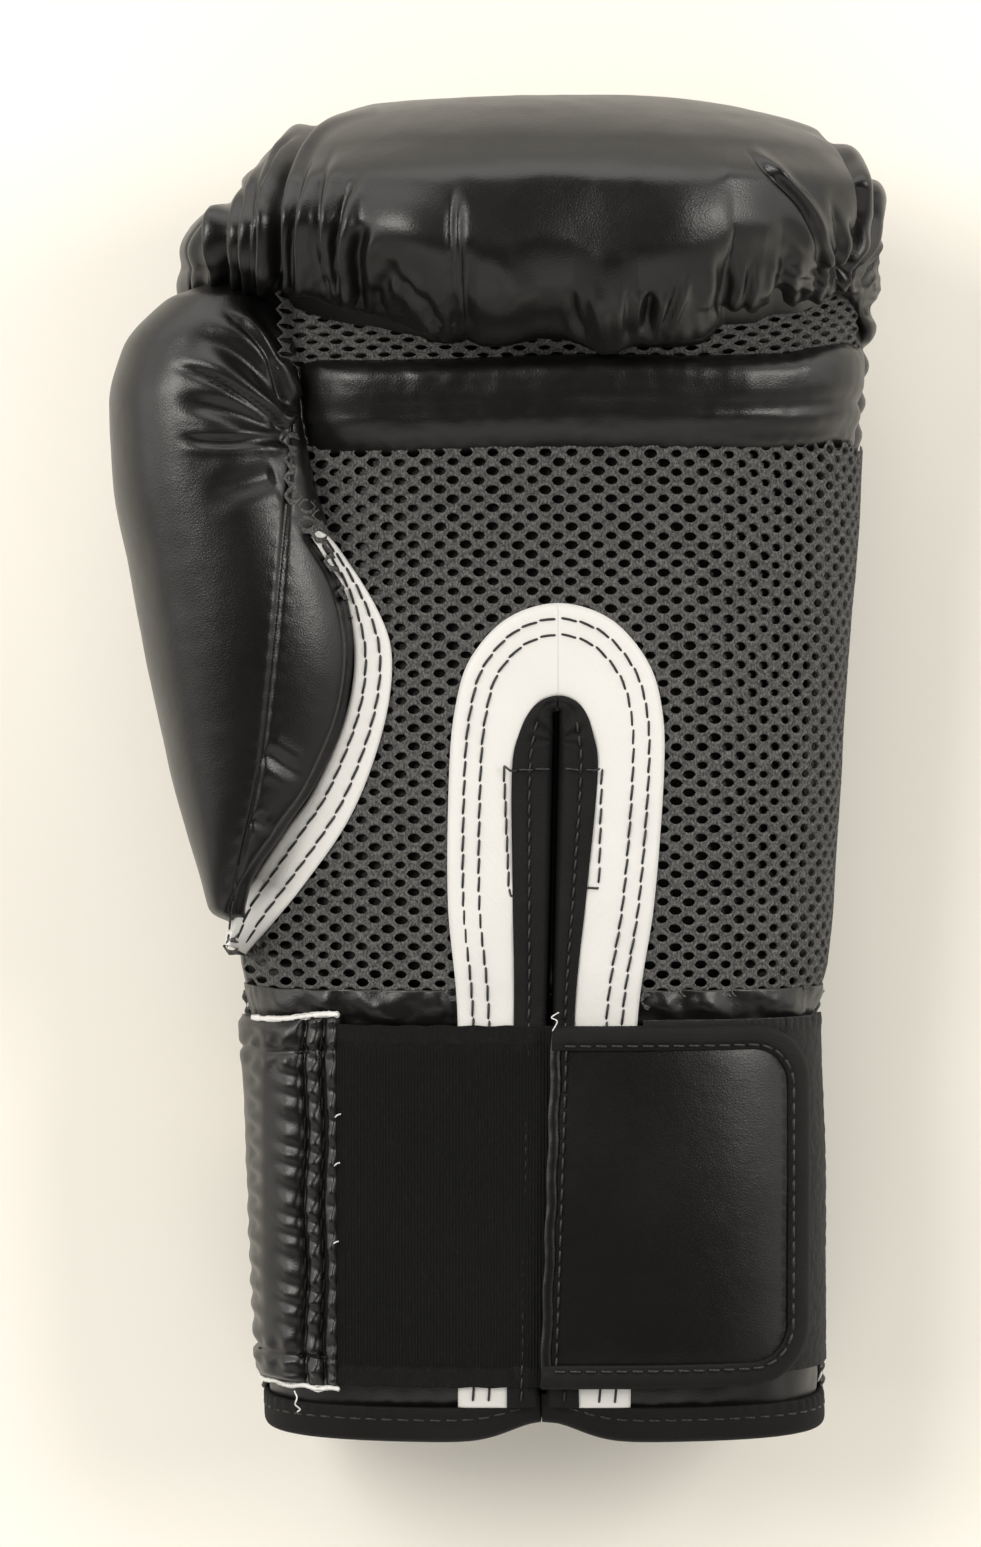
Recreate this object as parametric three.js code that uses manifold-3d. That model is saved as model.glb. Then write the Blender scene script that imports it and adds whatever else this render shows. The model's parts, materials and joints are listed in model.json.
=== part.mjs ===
// A boxing glove, palm side up: padded fist with a curled finger end, grip bar, mesh palm, thumb and
// an elastic wrist strap that closes on a loop panel. Millimetres, +Y to the finger tips, +Z out of
// the palm, thumb on the -X side. Until the last group shifts it, Y counts from the hem of the cuff.
import * as THREE from "three";
import { mergeVertices } from "three/addons/utils/BufferGeometryUtils.js";
import Module from "manifold-3d";

const wasm = await Module();
wasm.setup();

// ---- driving dimensions -------------------------------------------------------------------------

const LENGTH = 291.4; // hem of the cuff to the front of the fist
const CUFF = 98; // height of the cuff, where the palm begins
const HEM = 8; // width of the hem binding
const BAR = { bottom: 213.5, top: 233.6, left: -43, right: 80, low: 75, high: 88 }; // grip bar
const LIP = 240; // hem of the finger curl
const SIDE_SEAM = 40; // height of the cuff's side seams, on which the flaps turn
const SLIT = { topX: 12.3, topY: 158, hemX: 9.2, gap: 1.2 }; // wrist slit, from its top to the hem
const GAP = 0.3; // clearance between touching pieces
const LOBE_ROOM = 0.6; // clearance round the thumb's lobe, where it swings
const THUMB_SWING = 12; // how far the lobe swings away from the fist, in degrees
const SKIN = 1.2; // thickness of the leather and the mesh
const LINING = 1; // thickness of the lining
const BACK = 8; // the back panel ends this high above the ground
const FLOOR = 0; // the glove lies on its back at this height
const FAR = 200; // farther out than any part of the glove

// Depth of each layer below the leather's surface: negative layers lie on top of it.
const LAYER = {
  skin: [0, SKIN],
  patch: [-1.4, -GAP],
  binding: [-2.2, -GAP],
  anchor: [-3.6, -GAP],
  hook: [-2.7, -1.7],
  strap: [-4.4, -3],
  tabBacking: [-4, -3],
  tabFace: [-5.4, -4.3],
  tabBinding: [-5.8, -3],
};

// Sections across Y: left and right edge, lowest and highest point, height of the widest point at
// the left and at the right, and how square the section is (2 is an ellipse).
const section = (y, left, right, low, high, leftMid, rightMid, square) => ({
  y, left, right, low, high, leftMid, rightMid, square,
});

const BODY = [
  section(0, -51, 71.6, 8, 66, 36, 36, 3),
  section(15, -51.6, 71.3, 7, 70, 37, 37, 3),
  section(60, -53.2, 71, 5.5, 72.5, 38, 38, 3),
  section(92, -55, 70, 4, 73, 38, 38, 3),
  section(104, -57.5, 73.3, 2.5, 75, 38, 38, 2.9),
  section(130, -60, 75, -1.5, 78, 39, 39, 2.8),
  section(170, -63, 77.5, -3, 80, 40, 40, 2.8),
  section(214, -67, 80.6, -3, 82, 41, 41, 2.8),
  section(234, -69.5, 81.6, -2, 85, 44, 43, 2.7),
  section(241, -70.2, 82, -1.5, 103, 47, 45, 2.5),
  section(247, -70.3, 82.3, -1, 111.5, 50, 47, 2.4),
  section(256, -67.8, 83.2, 1.5, 117.5, 54, 50, 2.4),
  section(265.5, -61, 83.4, 7, 117.5, 56, 53, 2.4),
  section(276, -53.5, 79, 17, 109, 57, 55, 2.4),
  section(284, -45.5, 69.8, 29, 96, 58, 57, 2.3),
  section(289.4, -35, 53, 42, 80, 58, 58, 2.2),
  section(LENGTH, -21, 40, 50, 68, 59, 59, 2.1),
];

// The thumb's mound: its seam splits it into the lobe that swings and the part that stays.
const THUMB = [
  section(103, -60, -56.5, 62, 72, 67, 68, 2.2),
  section(120, -63.6, -54, 50, 80, 64, 72, 2.2),
  section(133, -67.6, -46, 44, 84, 62, 74, 2.2),
  section(142, -70.3, -39.6, 42, 86, 61, 76, 2.2),
  section(159, -74.2, -32.3, 40, 89, 61, 77, 2.2),
  section(172, -77, -30.7, 38, 91, 62, 78, 2.2),
  section(190, -80.2, -34, 38, 93, 64, 79, 2.2),
  section(208, -83.2, -39.5, 40, 94, 66, 79, 2.2),
  section(224, -83.6, -42.4, 43, 94.5, 68, 78, 2.2),
  section(236, -80.6, -42.9, 48, 93, 70, 76, 2.2),
  section(246, -71.8, -48, 58, 88, 73, 75, 2.2),
  section(251.5, -61, -54, 70, 80, 75, 75, 2.2),
];
// The seam's ends, from the wrist to the tip: the lobe turns on this line.
const THUMB_SEAM = { from: [-58.3, 104, 86], to: [-43.4, 222, 93.5] };

// The hollow for the hand, the fingers' pocket under the curl and the thumb's pocket.
const HAND = [
  section(0, -42.5, 63, 16.5, 57.5, 37, 37, 2.8),
  section(60, -44.5, 62.5, 14.5, 63.5, 38, 38, 2.8),
  section(98, -46, 61.5, 14.5, 64.5, 39, 39, 2.8),
  section(130, -46, 62, 21, 66, 43, 43, 2.7),
  section(170, -43.5, 64, 26, 68, 46, 46, 2.6),
  section(214, -40, 66, 30, 69, 49, 49, 2.6),
  section(240, -41, 66, 35, 73, 53, 53, 2.6),
  section(256, -40, 60, 43, 75, 58, 58, 2.4),
  section(266, -28, 44, 54, 69, 61, 61, 2.2),
];
const FINGERS = { centre: [8, 253, 82], radii: [49, 14.5, 21] };
const THUMB_POCKET = [
  section(139, -62, -54, 55, 64, 59, 59, 2.2),
  section(150, -65, -49, 50, 74, 61, 61, 2.2),
  section(168, -68.5, -50, 50, 78, 62, 62, 2.2),
  section(200, -73, -54, 53, 81, 66, 66, 2.2),
  section(226, -73, -55, 58, 81, 69, 69, 2.2),
  section(238, -67, -59, 66, 76, 71, 71, 2.2),
];
const THUMB_WAY = { x: [-58, -28], y: [143, 175], z: [51, 66] }; // from the palm to the thumb

// The strap's parts, from the anchor sewn to the left flap to the tab that closes on the loops.
const STRAP = { bottom: 13.5, top: 91 };
const ANCHOR = { left: -54.2, right: -35.4 };
const ELASTIC = { left: -34.9, right: 10.6 };
const TAB = { left: 11.2, right: 67.5, radius: 13, edge: 5.5 };
const HOOK = { left: 34, right: 60, inset: 8 };
const LOOP = { left: 31, right: 71.2, bottom: 16, top: 92 };
const BADGE = { edge: -30, bottom: 58, top: 78, low: 12, high: 37, layer: [-1.8, -GAP] };

// The U-shaped patch round the slit, its legs down the cuff, and the teardrop of binding inside it.
const PATCH = { centre: 12.3, half: 22, top: 181, shoulder: 158, waist: 120, waistHalf: 21.5, taper: 3 };
const LEG = { left: [-8.8, 2.4], right: [16.4, 28.6] };
const TEARDROP = { centre: 11.9, half: 8.5, foot: 6, shoulder: 146, round: 15 };

// The foam is divided at these places, so that every block is a simple one.
const SPLIT = { low: 28, high: 60, middle: 8, curl: LIP - 4, knuckle: 250 };
const TOP_SIDE = [55, 130]; // heights between which the palm side's pieces lie

// ---- solids -------------------------------------------------------------------------------------

const solid = (geometry) => {
  const bare = geometry.index ? geometry : geometry.clone();
  bare.deleteAttribute("normal");
  bare.deleteAttribute("uv");
  const merged = mergeVertices(bare, 1e-4);
  return new wasm.Manifold(
    new wasm.Mesh({
      numProp: 3,
      vertProperties: new Float32Array(merged.attributes.position.array),
      triVerts: new Uint32Array(merged.index.array),
    }),
  );
};

// Turns a geometry about the thumb's seam, its lobe rising.
const swing = (geometry, degrees) => {
  const from = new THREE.Vector3(...THUMB_SEAM.from);
  const axis = new THREE.Vector3(...THUMB_SEAM.to).sub(from).normalize();
  const turn = new THREE.Matrix4().makeRotationAxis(axis, THREE.MathUtils.degToRad(degrees));
  return geometry
    .translate(-from.x, -from.y, -from.z)
    .applyMatrix4(turn)
    .translate(from.x, from.y, from.z);
};

const box = (x0, x1, y0, y1, z0, z1) => {
  const geometry = new THREE.BoxGeometry(x1 - x0, y1 - y0, z1 - z0);
  geometry.translate((x0 + x1) / 2, (y0 + y1) / 2, (z0 + z1) / 2);
  return solid(geometry);
};

const prism = (shape, low, high) => {
  const geometry = new THREE.ExtrudeGeometry(shape, {
    depth: high - low,
    bevelEnabled: false,
    curveSegments: 7,
  });
  geometry.translate(0, 0, low);
  return solid(geometry);
};

const outline = (points) => new THREE.Shape(points.map(([x, y]) => new THREE.Vector2(x, y)));

// Slope of a smooth curve through values at the stations, flat where the values turn.
const slopes = (ys, values) =>
  values.map((value, i) => {
    if (i === 0 || i === values.length - 1) return 0;
    const before = (value - values[i - 1]) / (ys[i] - ys[i - 1]);
    const after = (values[i + 1] - value) / (ys[i + 1] - ys[i]);
    return before * after > 0 ? (2 * before * after) / (before + after) : 0;
  });

const FIELDS = ["left", "right", "low", "high", "leftMid", "rightMid", "square"];

// The stations with smooth ones filled in between, so that no step along Y is longer than `step`.
const refine = (stations, step) => {
  const ys = stations.map((s) => s.y);
  const tangents = Object.fromEntries(
    FIELDS.map((field) => [field, slopes(ys, stations.map((s) => s[field]))]),
  );
  const rows = [];
  for (let i = 0; i + 1 < stations.length; i += 1) {
    const [a, b] = [stations[i], stations[i + 1]];
    const span = b.y - a.y;
    const count = Math.max(1, Math.ceil(span / step));
    for (let k = 0; k < count; k += 1) {
      const t = k / count;
      const row = { y: a.y + span * t };
      for (const field of FIELDS) {
        const [m0, m1] = [tangents[field][i] * span, tangents[field][i + 1] * span];
        const [t2, t3] = [t * t, t * t * t];
        row[field] =
          a[field] * (2 * t3 - 3 * t2 + 1) +
          m0 * (t3 - 2 * t2 + t) +
          b[field] * (3 * t2 - 2 * t3) +
          m1 * (t3 - t2);
      }
      rows.push(row);
    }
  }
  return [...rows, { ...stations[stations.length - 1] }];
};

const sectionPoint = (row, inset, angle) => {
  const power = 2 / row.square;
  const [c, s] = [Math.cos(angle), Math.sin(angle)];
  const across = Math.sign(c) * Math.abs(c) ** power;
  const up = Math.sign(s) * Math.abs(s) ** power;
  const [left, right] = [row.left + inset, row.right - inset];
  const mid = row.leftMid + ((row.rightMid - row.leftMid) * (across + 1)) / 2;
  const reach = up > 0 ? row.high - inset - mid : mid - row.low - inset;
  return [(left + right) / 2 + (across * (right - left)) / 2, mid + up * reach];
};

// A closed body through the stations, every wall moved in by `inset`. The end caps move in too,
// except a mouth, which runs on past the end.
const loftGeometry = (stations, inset, { around = 22, step = 28, mouth = 0 } = {}) => {
  const rows = refine(stations, step);
  const [first, last] = [rows[0].y, rows[rows.length - 1].y];
  const middle = (first + last) / 2;
  for (const row of rows) {
    const near = row.y < middle ? 0 : (row.y - middle) / (last - middle);
    const far = mouth || row.y > middle ? 0 : (middle - row.y) / (middle - first);
    row.y += inset * (far ** 6 - near ** 6);
  }
  if (mouth) rows.unshift({ ...rows[0], y: first - mouth });
  const positions = [];
  const index = [];
  for (const row of rows) {
    for (let k = 0; k < around; k += 1) {
      const [x, z] = sectionPoint(row, inset, (2 * Math.PI * (k + 0.5)) / around);
      positions.push(x, row.y, z);
    }
  }
  for (let i = 0; i + 1 < rows.length; i += 1) {
    for (let k = 0; k < around; k += 1) {
      const [a, b] = [i * around + k, i * around + ((k + 1) % around)];
      index.push(a, a + around, b, b, a + around, b + around);
    }
  }
  const top = (rows.length - 1) * around;
  for (let k = 1; k + 1 < around; k += 1) {
    index.push(0, k, k + 1);
    index.push(top, top + k + 1, top + k);
  }
  const geometry = new THREE.BufferGeometry();
  geometry.setAttribute("position", new THREE.Float32BufferAttribute(positions, 3));
  geometry.setIndex(index);
  return geometry;
};
const loft = (stations, inset, options) => solid(loftGeometry(stations, inset, options));

// Everything on one side of the thumb's seam plane: -1 is the lobe's side, 1 the palm's.
const seamSide = (side, gap) => {
  const [[x0, y0], [x1, y1]] = [THUMB_SEAM.from, THUMB_SEAM.to];
  const lean = (x1 - x0) / (y1 - y0);
  const at = (y) => x0 + lean * (y - y0) + (side * gap) / 2;
  return prism(
    outline([
      [at(-FAR), -FAR],
      [at(2 * FAR), 2 * FAR],
      [side * FAR, 2 * FAR],
      [side * FAR, -FAR],
    ]),
    -FAR,
    FAR,
  );
};

const cache = new Map();
const remember = (name, inset, make) => {
  const key = `${name} ${inset}`;
  if (!cache.has(key)) cache.set(key, make());
  return cache.get(key);
};

const MOUND_SHAPE = { around: 16 };
const mound = (inset) => remember("mound", inset, () => loft(THUMB, inset, MOUND_SHAPE));
const lobe = (inset) => mound(inset).intersect(seamSide(-1, LOBE_ROOM));
const swungLobe = (degrees) =>
  solid(swing(loftGeometry(THUMB, -LOBE_ROOM, MOUND_SHAPE), degrees)).intersect(seamSide(-1, 0));
const lobeSpace = [THUMB_SWING / 3, (2 * THUMB_SWING) / 3, THUMB_SWING].reduce(
  (space, degrees) => space.add(swungLobe(degrees)),
  swungLobe(0),
);

// The glove's outside, its thumb included, with the back cut flat where it lies.
const hull = (inset) =>
  remember("hull", inset, () =>
    loft(BODY, inset, { mouth: inset > 0 ? HEM : 0 })
      .add(mound(inset))
      .intersect(box(-FAR, FAR, -FAR, 2 * FAR, FLOOR + Math.max(inset, 0), FAR)),
  );

const fingers = (inset) => {
  const { centre, radii } = FINGERS;
  const geometry = new THREE.SphereGeometry(1, 14, 8);
  geometry.scale(...radii.map((r) => r - inset));
  geometry.translate(...centre);
  return solid(geometry);
};

const thumbWay = box(...THUMB_WAY.x, ...THUMB_WAY.y, ...THUMB_WAY.z);

const hollow = (inset) =>
  remember("hollow", inset, () =>
    loft(HAND, inset, { around: 16, step: 40, mouth: HEM }).add(fingers(inset)),
  );
const thumbPocket = (inset) => loft(THUMB_POCKET, inset, { around: 12, step: 40 });

const layer = ([outer, inner], zone) =>
  hull(outer).subtract(hull(inner)).intersect(zone).subtract(lobeSpace);

// ---- outlines in plan ---------------------------------------------------------------------------

const zone = (points, heights = TOP_SIDE) => prism(outline(points), ...heights);
const band = (y0, y1) => box(-FAR, FAR, y0, y1, -FAR, FAR);

const spline = (points, divisions = 12) =>
  new THREE.SplineCurve(points.map(([x, y]) => new THREE.Vector2(x, y)))
    .getPoints(divisions)
    .map((p) => [p.x, p.y]);

// The white crescent strip, between its outer and its inner edge.
const STRIP_OUTER = spline([
  [-57.6, 103.6], [-42.8, 120.4], [-31.6, 136.5], [-24.7, 154.8], [-22.8, 170],
  [-26, 180.6], [-34.2, 193.5], [-39, 198],
]);
const STRIP_INNER = spline([
  [-60, 112], [-52.5, 125], [-39.6, 142], [-32.3, 159], [-30.7, 172], [-33.1, 185], [-39, 193],
]);
const strip = zone([...STRIP_OUTER, ...[...STRIP_INNER].reverse()]);

const MESH_RIGHT = [[74, CUFF + GAP], [75.4, 157], [77.6, 191], [79, BAR.bottom - GAP]];
const meshLeft = spline([
  [-50 + GAP, 112], [-42.8 + GAP, 120.4], [-31.6 + GAP, 136.5], [-24.7 + GAP, 154.8],
  [-22.8 + GAP, 170], [-26 + GAP, 180.6], [-34.2 + GAP, 193.5], [-40, 200],
  [-42.2, BAR.bottom - GAP],
]);
const meshZone = zone([
  [-50, CUFF + GAP], ...MESH_RIGHT, ...[...meshLeft].reverse(),
]);
const thumbPanelZone = zone([
  ...STRIP_INNER.map(([x, y]) => [x - GAP, y]),
  [-42.6, BAR.bottom - GAP], [-43.5, 224], [-95, 224], [-95, 118],
]);

const slitX = (y) => SLIT.hemX + ((SLIT.topX - SLIT.hemX) * y) / SLIT.topY;
const patchOutline = () => {
  const shape = new THREE.Shape();
  const { centre, half, top, shoulder, waistHalf, waist, taper } = PATCH;
  shape.moveTo(centre - waistHalf, CUFF + GAP);
  shape.lineTo(centre - waistHalf, waist);
  shape.lineTo(centre - half, shoulder);
  shape.absellipse(centre, shoulder, half, top - shoulder, Math.PI, 0, true);
  shape.lineTo(centre + waistHalf, waist);
  shape.lineTo(centre + waistHalf - taper, CUFF + GAP);
  return shape;
};
// The teardrop of bias binding round the slit, grown by `by`.
const teardrop = (by) => {
  const shape = new THREE.Shape();
  const { centre, half, foot, shoulder, round } = TEARDROP;
  shape.moveTo(slitX(0) - foot - by, -HEM);
  shape.lineTo(centre - half - by, shoulder);
  shape.absellipse(centre, shoulder, half + by, round + by, Math.PI, 0, true);
  shape.lineTo(slitX(0) + foot + by, -HEM);
  return shape;
};
const slitGap = prism(
  outline([
    [slitX(0) - SLIT.gap / 2, -HEM],
    [slitX(SLIT.topY) - SLIT.gap / 2, SLIT.topY],
    [slitX(SLIT.topY) + SLIT.gap / 2, SLIT.topY],
    [slitX(0) + SLIT.gap / 2, -HEM],
  ]),
  SIDE_SEAM,
  FAR,
);

// ---- cuff ---------------------------------------------------------------------------------------

const cuffWall = band(HEM + GAP, CUFF);
const backHalf = box(-FAR, FAR, -FAR, 2 * FAR, -FAR, SIDE_SEAM - GAP);
const slitLine = outline([
  [slitX(0), -HEM], [slitX(CUFF), CUFF + HEM], [-FAR, CUFF + HEM], [-FAR, -HEM],
]);
const leftHalf = prism(slitLine, SIDE_SEAM, FAR).subtract(slitGap);
const rightHalf = box(-FAR, FAR, -HEM, CUFF + HEM, SIDE_SEAM, FAR)
  .subtract(prism(slitLine, 0, FAR))
  .subtract(slitGap);
const FOAM_DEPTH = SKIN + GAP;
const LINING_OUT = -LINING;

const cuffPieces = {};
for (const [name, half] of [["back", backHalf], ["left", leftHalf], ["right", rightHalf]]) {
  const wall = half.intersect(cuffWall);
  cuffPieces[`cuff_${name}_shell`] = layer(LAYER.skin, wall);
  cuffPieces[`cuff_${name}_padding`] = hull(FOAM_DEPTH)
    .subtract(hollow(LINING_OUT - GAP))
    .intersect(wall);
  cuffPieces[`cuff_${name}_lining`] = hollow(LINING_OUT).subtract(hollow(0)).intersect(wall);
  cuffPieces[`hem_binding_${name}`] = hull(0)
    .subtract(hollow(0))
    .intersect(half.intersect(band(0, HEM)));
}

cuffPieces.cuff_badge = layer(
  BADGE.layer,
  box(-FAR, BADGE.edge, BADGE.bottom, BADGE.top, BADGE.low, BADGE.high),
);

// ---- strap, laid over the cuff ------------------------------------------------------------------

const tabOutline = (inset) => {
  const shape = new THREE.Shape();
  const [x0, x1] = [TAB.left, TAB.right - inset];
  const [y0, y1] = [STRAP.bottom + inset, STRAP.top - inset];
  const radius = TAB.radius - inset;
  shape.moveTo(x0, y0);
  shape.lineTo(x1 - radius, y0);
  shape.absarc(x1 - radius, y0 + radius, radius, -Math.PI / 2, 0, false);
  shape.absarc(x1 - radius, y1 - radius, radius, 0, Math.PI / 2, false);
  shape.lineTo(x0, y1);
  return shape;
};
const tabInner = prism(tabOutline(TAB.edge), ...TOP_SIDE);
const tabHole = prism(tabOutline(TAB.edge - GAP), ...TOP_SIDE);
const onCuff = (x0, x1, y0, y1) => box(x0, x1, y0, y1, SIDE_SEAM + GAP, FAR);

const strapPieces = {
  strap_anchor_patch: layer(
    LAYER.anchor,
    onCuff(ANCHOR.left, ANCHOR.right, STRAP.bottom, STRAP.top),
  ),
  strap_elastic: layer(
    LAYER.strap,
    onCuff(ELASTIC.left, ELASTIC.right, STRAP.bottom, STRAP.top),
  ),
  tab_face: layer(LAYER.tabFace, tabInner),
  tab_backing: layer(LAYER.tabBacking, tabInner),
  tab_binding: layer(LAYER.tabBinding, prism(tabOutline(0), ...TOP_SIDE).subtract(tabHole)),
  hook_patch: layer(
    LAYER.hook,
    onCuff(HOOK.left, HOOK.right, STRAP.bottom + HOOK.inset, STRAP.top - HOOK.inset),
  ),
  loop_panel: layer(LAYER.patch, onCuff(LOOP.left, LOOP.right, LOOP.bottom, LOOP.top)),
  palm_patch_left_leg: layer(LAYER.patch, onCuff(...LEG.left, HEM + GAP, CUFF)),
  palm_patch_right_leg: layer(LAYER.patch, onCuff(...LEG.right, HEM + GAP, CUFF)),
  slit_binding_left: layer(
    LAYER.patch,
    onCuff(LEG.left[1] + GAP, slitX(0) - SLIT.gap / 2, HEM + GAP, CUFF),
  ),
  slit_binding_right: layer(
    LAYER.patch,
    onCuff(slitX(CUFF) + SLIT.gap / 2, LEG.right[0] - GAP, HEM + GAP, CUFF),
  ),
};

// ---- palm, fist and back ------------------------------------------------------------------------

const bar = (inset) => {
  const { left, right, low, high } = BAR;
  const geometry = loftGeometry(
    [
      section(left, -6, 6, 79, 84, 80, 80, 2.4),
      section(left + 4, -9, 9, 76, 86.5, 79, 79, 2.4),
      section(left + 12, -10, 10, low, high, 79, 79, 2.6),
      section(right - 24, -10, 10, low, high, 79, 79, 2.6),
      section(right - 8, -10.5, 10.5, 70, 82, 75, 75, 2.6),
      section(right, -9, 9, 64, 73, 69, 69, 2.4),
    ],
    inset,
    { around: 16 },
  );
  // Turned so that its length runs along +X.
  geometry.rotateZ(-Math.PI / 2);
  geometry.translate(0, (BAR.bottom + BAR.top) / 2, 0);
  return solid(geometry);
};
const barSpace = bar(-GAP);

const palmZone = band(CUFF + GAP, LIP + FAR);
const palmSide = zone(
  [
    [-95, CUFF - 1], [MESH_RIGHT[0][0] + GAP, CUFF - 1],
    ...MESH_RIGHT.map(([x, y]) => [x + GAP, y]),
    [MESH_RIGHT[3][0] + GAP, LIP], [-95, LIP],
  ],
  [TOP_SIDE[0] - GAP, FAR],
);
const skinRest = layer(LAYER.skin, palmZone).subtract(palmSide);
const core = hull(FOAM_DEPTH)
  .subtract(hollow(LINING_OUT - GAP))
  .subtract(thumbWay)
  .subtract(barSpace)
  .intersect(palmZone)
  .subtract(lobeSpace);
const block = (x0, x1, y0, y1, z0, z1) => core.intersect(box(x0, x1, y0, y1, z0, z1));

const palmPieces = {
  back_panel: skinRest.intersect(box(-FAR, FAR, CUFF, FAR * 2, -FAR, BACK)),
  fist_shell: skinRest.intersect(box(-FAR, FAR, CUFF, FAR * 2, BACK + GAP, FAR)),
  palm_mesh_panel: layer(LAYER.skin, meshZone).subtract(slitGap),
  finger_mesh_strip: layer(
    LAYER.skin,
    zone([[-43, BAR.top + GAP], [79, BAR.top + GAP], [79, LIP - GAP], [-43, LIP - GAP]]),
  ),
  grip_bar_cover: bar(0)
    .subtract(bar(SKIN))
    .intersect(box(BAR.left + 3, BAR.right - 3, 0, FAR * 2, 0, FAR)),
  grip_bar_core: bar(SKIN + 2 * GAP),
  thumb_strip: layer(LAYER.patch, strip).subtract(box(-FAR, FAR, 0, CUFF + GAP, 0, FAR)),
  thumb_inner_panel: layer(LAYER.skin, thumbPanelZone),
  palm_patch: layer(
    LAYER.patch,
    prism(patchOutline(), ...TOP_SIDE).subtract(prism(teardrop(GAP), ...TOP_SIDE)),
  ),
  slit_binding_top: layer(
    LAYER.binding,
    prism(teardrop(0), ...TOP_SIDE).intersect(palmZone).subtract(slitGap),
  ),
  back_foam: block(-FAR, FAR, 0, SPLIT.knuckle, -FAR, SPLIT.low),
  side_foam_left: block(
    -FAR, SPLIT.middle, 0, SPLIT.knuckle, SPLIT.low + GAP, SPLIT.high,
  ),
  side_foam_right: block(
    SPLIT.middle + GAP, FAR, 0, SPLIT.knuckle, SPLIT.low + GAP, SPLIT.high,
  ),
  palm_foam: block(-FAR, FAR, 0, SPLIT.curl, SPLIT.high + GAP, FAR).subtract(slitGap),
  finger_foam: block(-FAR, FAR, SPLIT.curl + GAP, SPLIT.knuckle, SPLIT.high + GAP, FAR),
  knuckle_foam: block(-FAR, FAR, SPLIT.knuckle + GAP, 2 * FAR, -FAR, FAR),
  hand_lining: hollow(LINING_OUT)
    .subtract(hollow(0))
    .intersect(palmZone)
    .subtract(slitGap)
    .subtract(thumbWay),
};

// ---- thumb --------------------------------------------------------------------------------------

const thumbPieces = {
  thumb_shell: lobe(0).subtract(mound(SKIN)).subtract(thumbWay),
  thumb_foam: lobe(FOAM_DEPTH).subtract(thumbPocket(LINING_OUT - GAP)).subtract(thumbWay),
  thumb_lining: thumbPocket(LINING_OUT)
    .subtract(thumbPocket(0))
    .intersect(lobe(FOAM_DEPTH))
    .subtract(thumbWay),
};

// ---- assembly -----------------------------------------------------------------------------------

const finish = (color, roughness, metalness = 0) =>
  new THREE.MeshStandardMaterial({ color, roughness, metalness });
const FINISHES = {
  leather: finish(0x17161a, 0.32),
  binding: finish(0x1d1c1c, 0.85),
  mesh: finish(0x3a3a3c, 0.9),
  white: finish(0xf1ede2, 0.5),
  foam: finish(0xc9c2a8, 0.95),
  lining: finish(0x22222a, 0.9),
  elastic: finish(0x1e1e20, 0.9),
  hook: finish(0x111111, 0.7),
};
const finishOf = (name) => {
  if (/foam|core|padding/.test(name)) return FINISHES.foam;
  if (/lining/.test(name)) return FINISHES.lining;
  if (/mesh/.test(name)) return FINISHES.mesh;
  if (/palm_patch|thumb_strip|badge/.test(name)) return FINISHES.white;
  if (/elastic/.test(name)) return FINISHES.elastic;
  if (/hook|loop/.test(name)) return FINISHES.hook;
  if (/binding|backing/.test(name)) return FINISHES.binding;
  return FINISHES.leather;
};

const glove = new THREE.Group();
glove.position.y = -LENGTH / 2;
for (const [name, piece] of Object.entries({
  ...cuffPieces,
  ...strapPieces,
  ...palmPieces,
  ...thumbPieces,
})) {
  const { vertProperties, triVerts } = piece.getMesh();
  const geometry = new THREE.BufferGeometry();
  geometry.setAttribute("position", new THREE.Float32BufferAttribute(vertProperties, 3));
  geometry.setIndex(new THREE.Uint32BufferAttribute(triVerts, 1));
  const mesh = new THREE.Mesh(geometry, finishOf(name));
  mesh.name = name;
  glove.add(mesh);
}

export default glove;
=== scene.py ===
import json
import math

import bmesh
import bpy
import numpy as np
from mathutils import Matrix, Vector, noise


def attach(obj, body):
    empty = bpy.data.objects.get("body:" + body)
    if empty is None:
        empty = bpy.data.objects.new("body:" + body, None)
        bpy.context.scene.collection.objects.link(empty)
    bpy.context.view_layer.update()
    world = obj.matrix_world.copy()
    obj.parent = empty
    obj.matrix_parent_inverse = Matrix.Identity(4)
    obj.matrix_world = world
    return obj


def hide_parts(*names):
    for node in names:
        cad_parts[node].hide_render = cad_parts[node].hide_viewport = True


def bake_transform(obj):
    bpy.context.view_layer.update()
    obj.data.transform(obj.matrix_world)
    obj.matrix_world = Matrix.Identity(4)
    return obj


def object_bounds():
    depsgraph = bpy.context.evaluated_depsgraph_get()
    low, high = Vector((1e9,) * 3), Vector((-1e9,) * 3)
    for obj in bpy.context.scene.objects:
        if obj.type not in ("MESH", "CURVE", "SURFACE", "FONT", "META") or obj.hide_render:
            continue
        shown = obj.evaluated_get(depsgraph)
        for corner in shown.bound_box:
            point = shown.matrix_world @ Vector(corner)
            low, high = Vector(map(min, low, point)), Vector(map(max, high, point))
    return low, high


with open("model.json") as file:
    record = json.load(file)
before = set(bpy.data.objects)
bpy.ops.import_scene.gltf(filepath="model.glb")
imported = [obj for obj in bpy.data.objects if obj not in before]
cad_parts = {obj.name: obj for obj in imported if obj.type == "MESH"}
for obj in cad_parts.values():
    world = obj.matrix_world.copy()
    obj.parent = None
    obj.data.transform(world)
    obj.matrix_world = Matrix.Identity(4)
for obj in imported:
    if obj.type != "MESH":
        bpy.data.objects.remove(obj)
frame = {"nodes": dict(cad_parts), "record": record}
CAD_LOW, CAD_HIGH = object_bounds()

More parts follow.
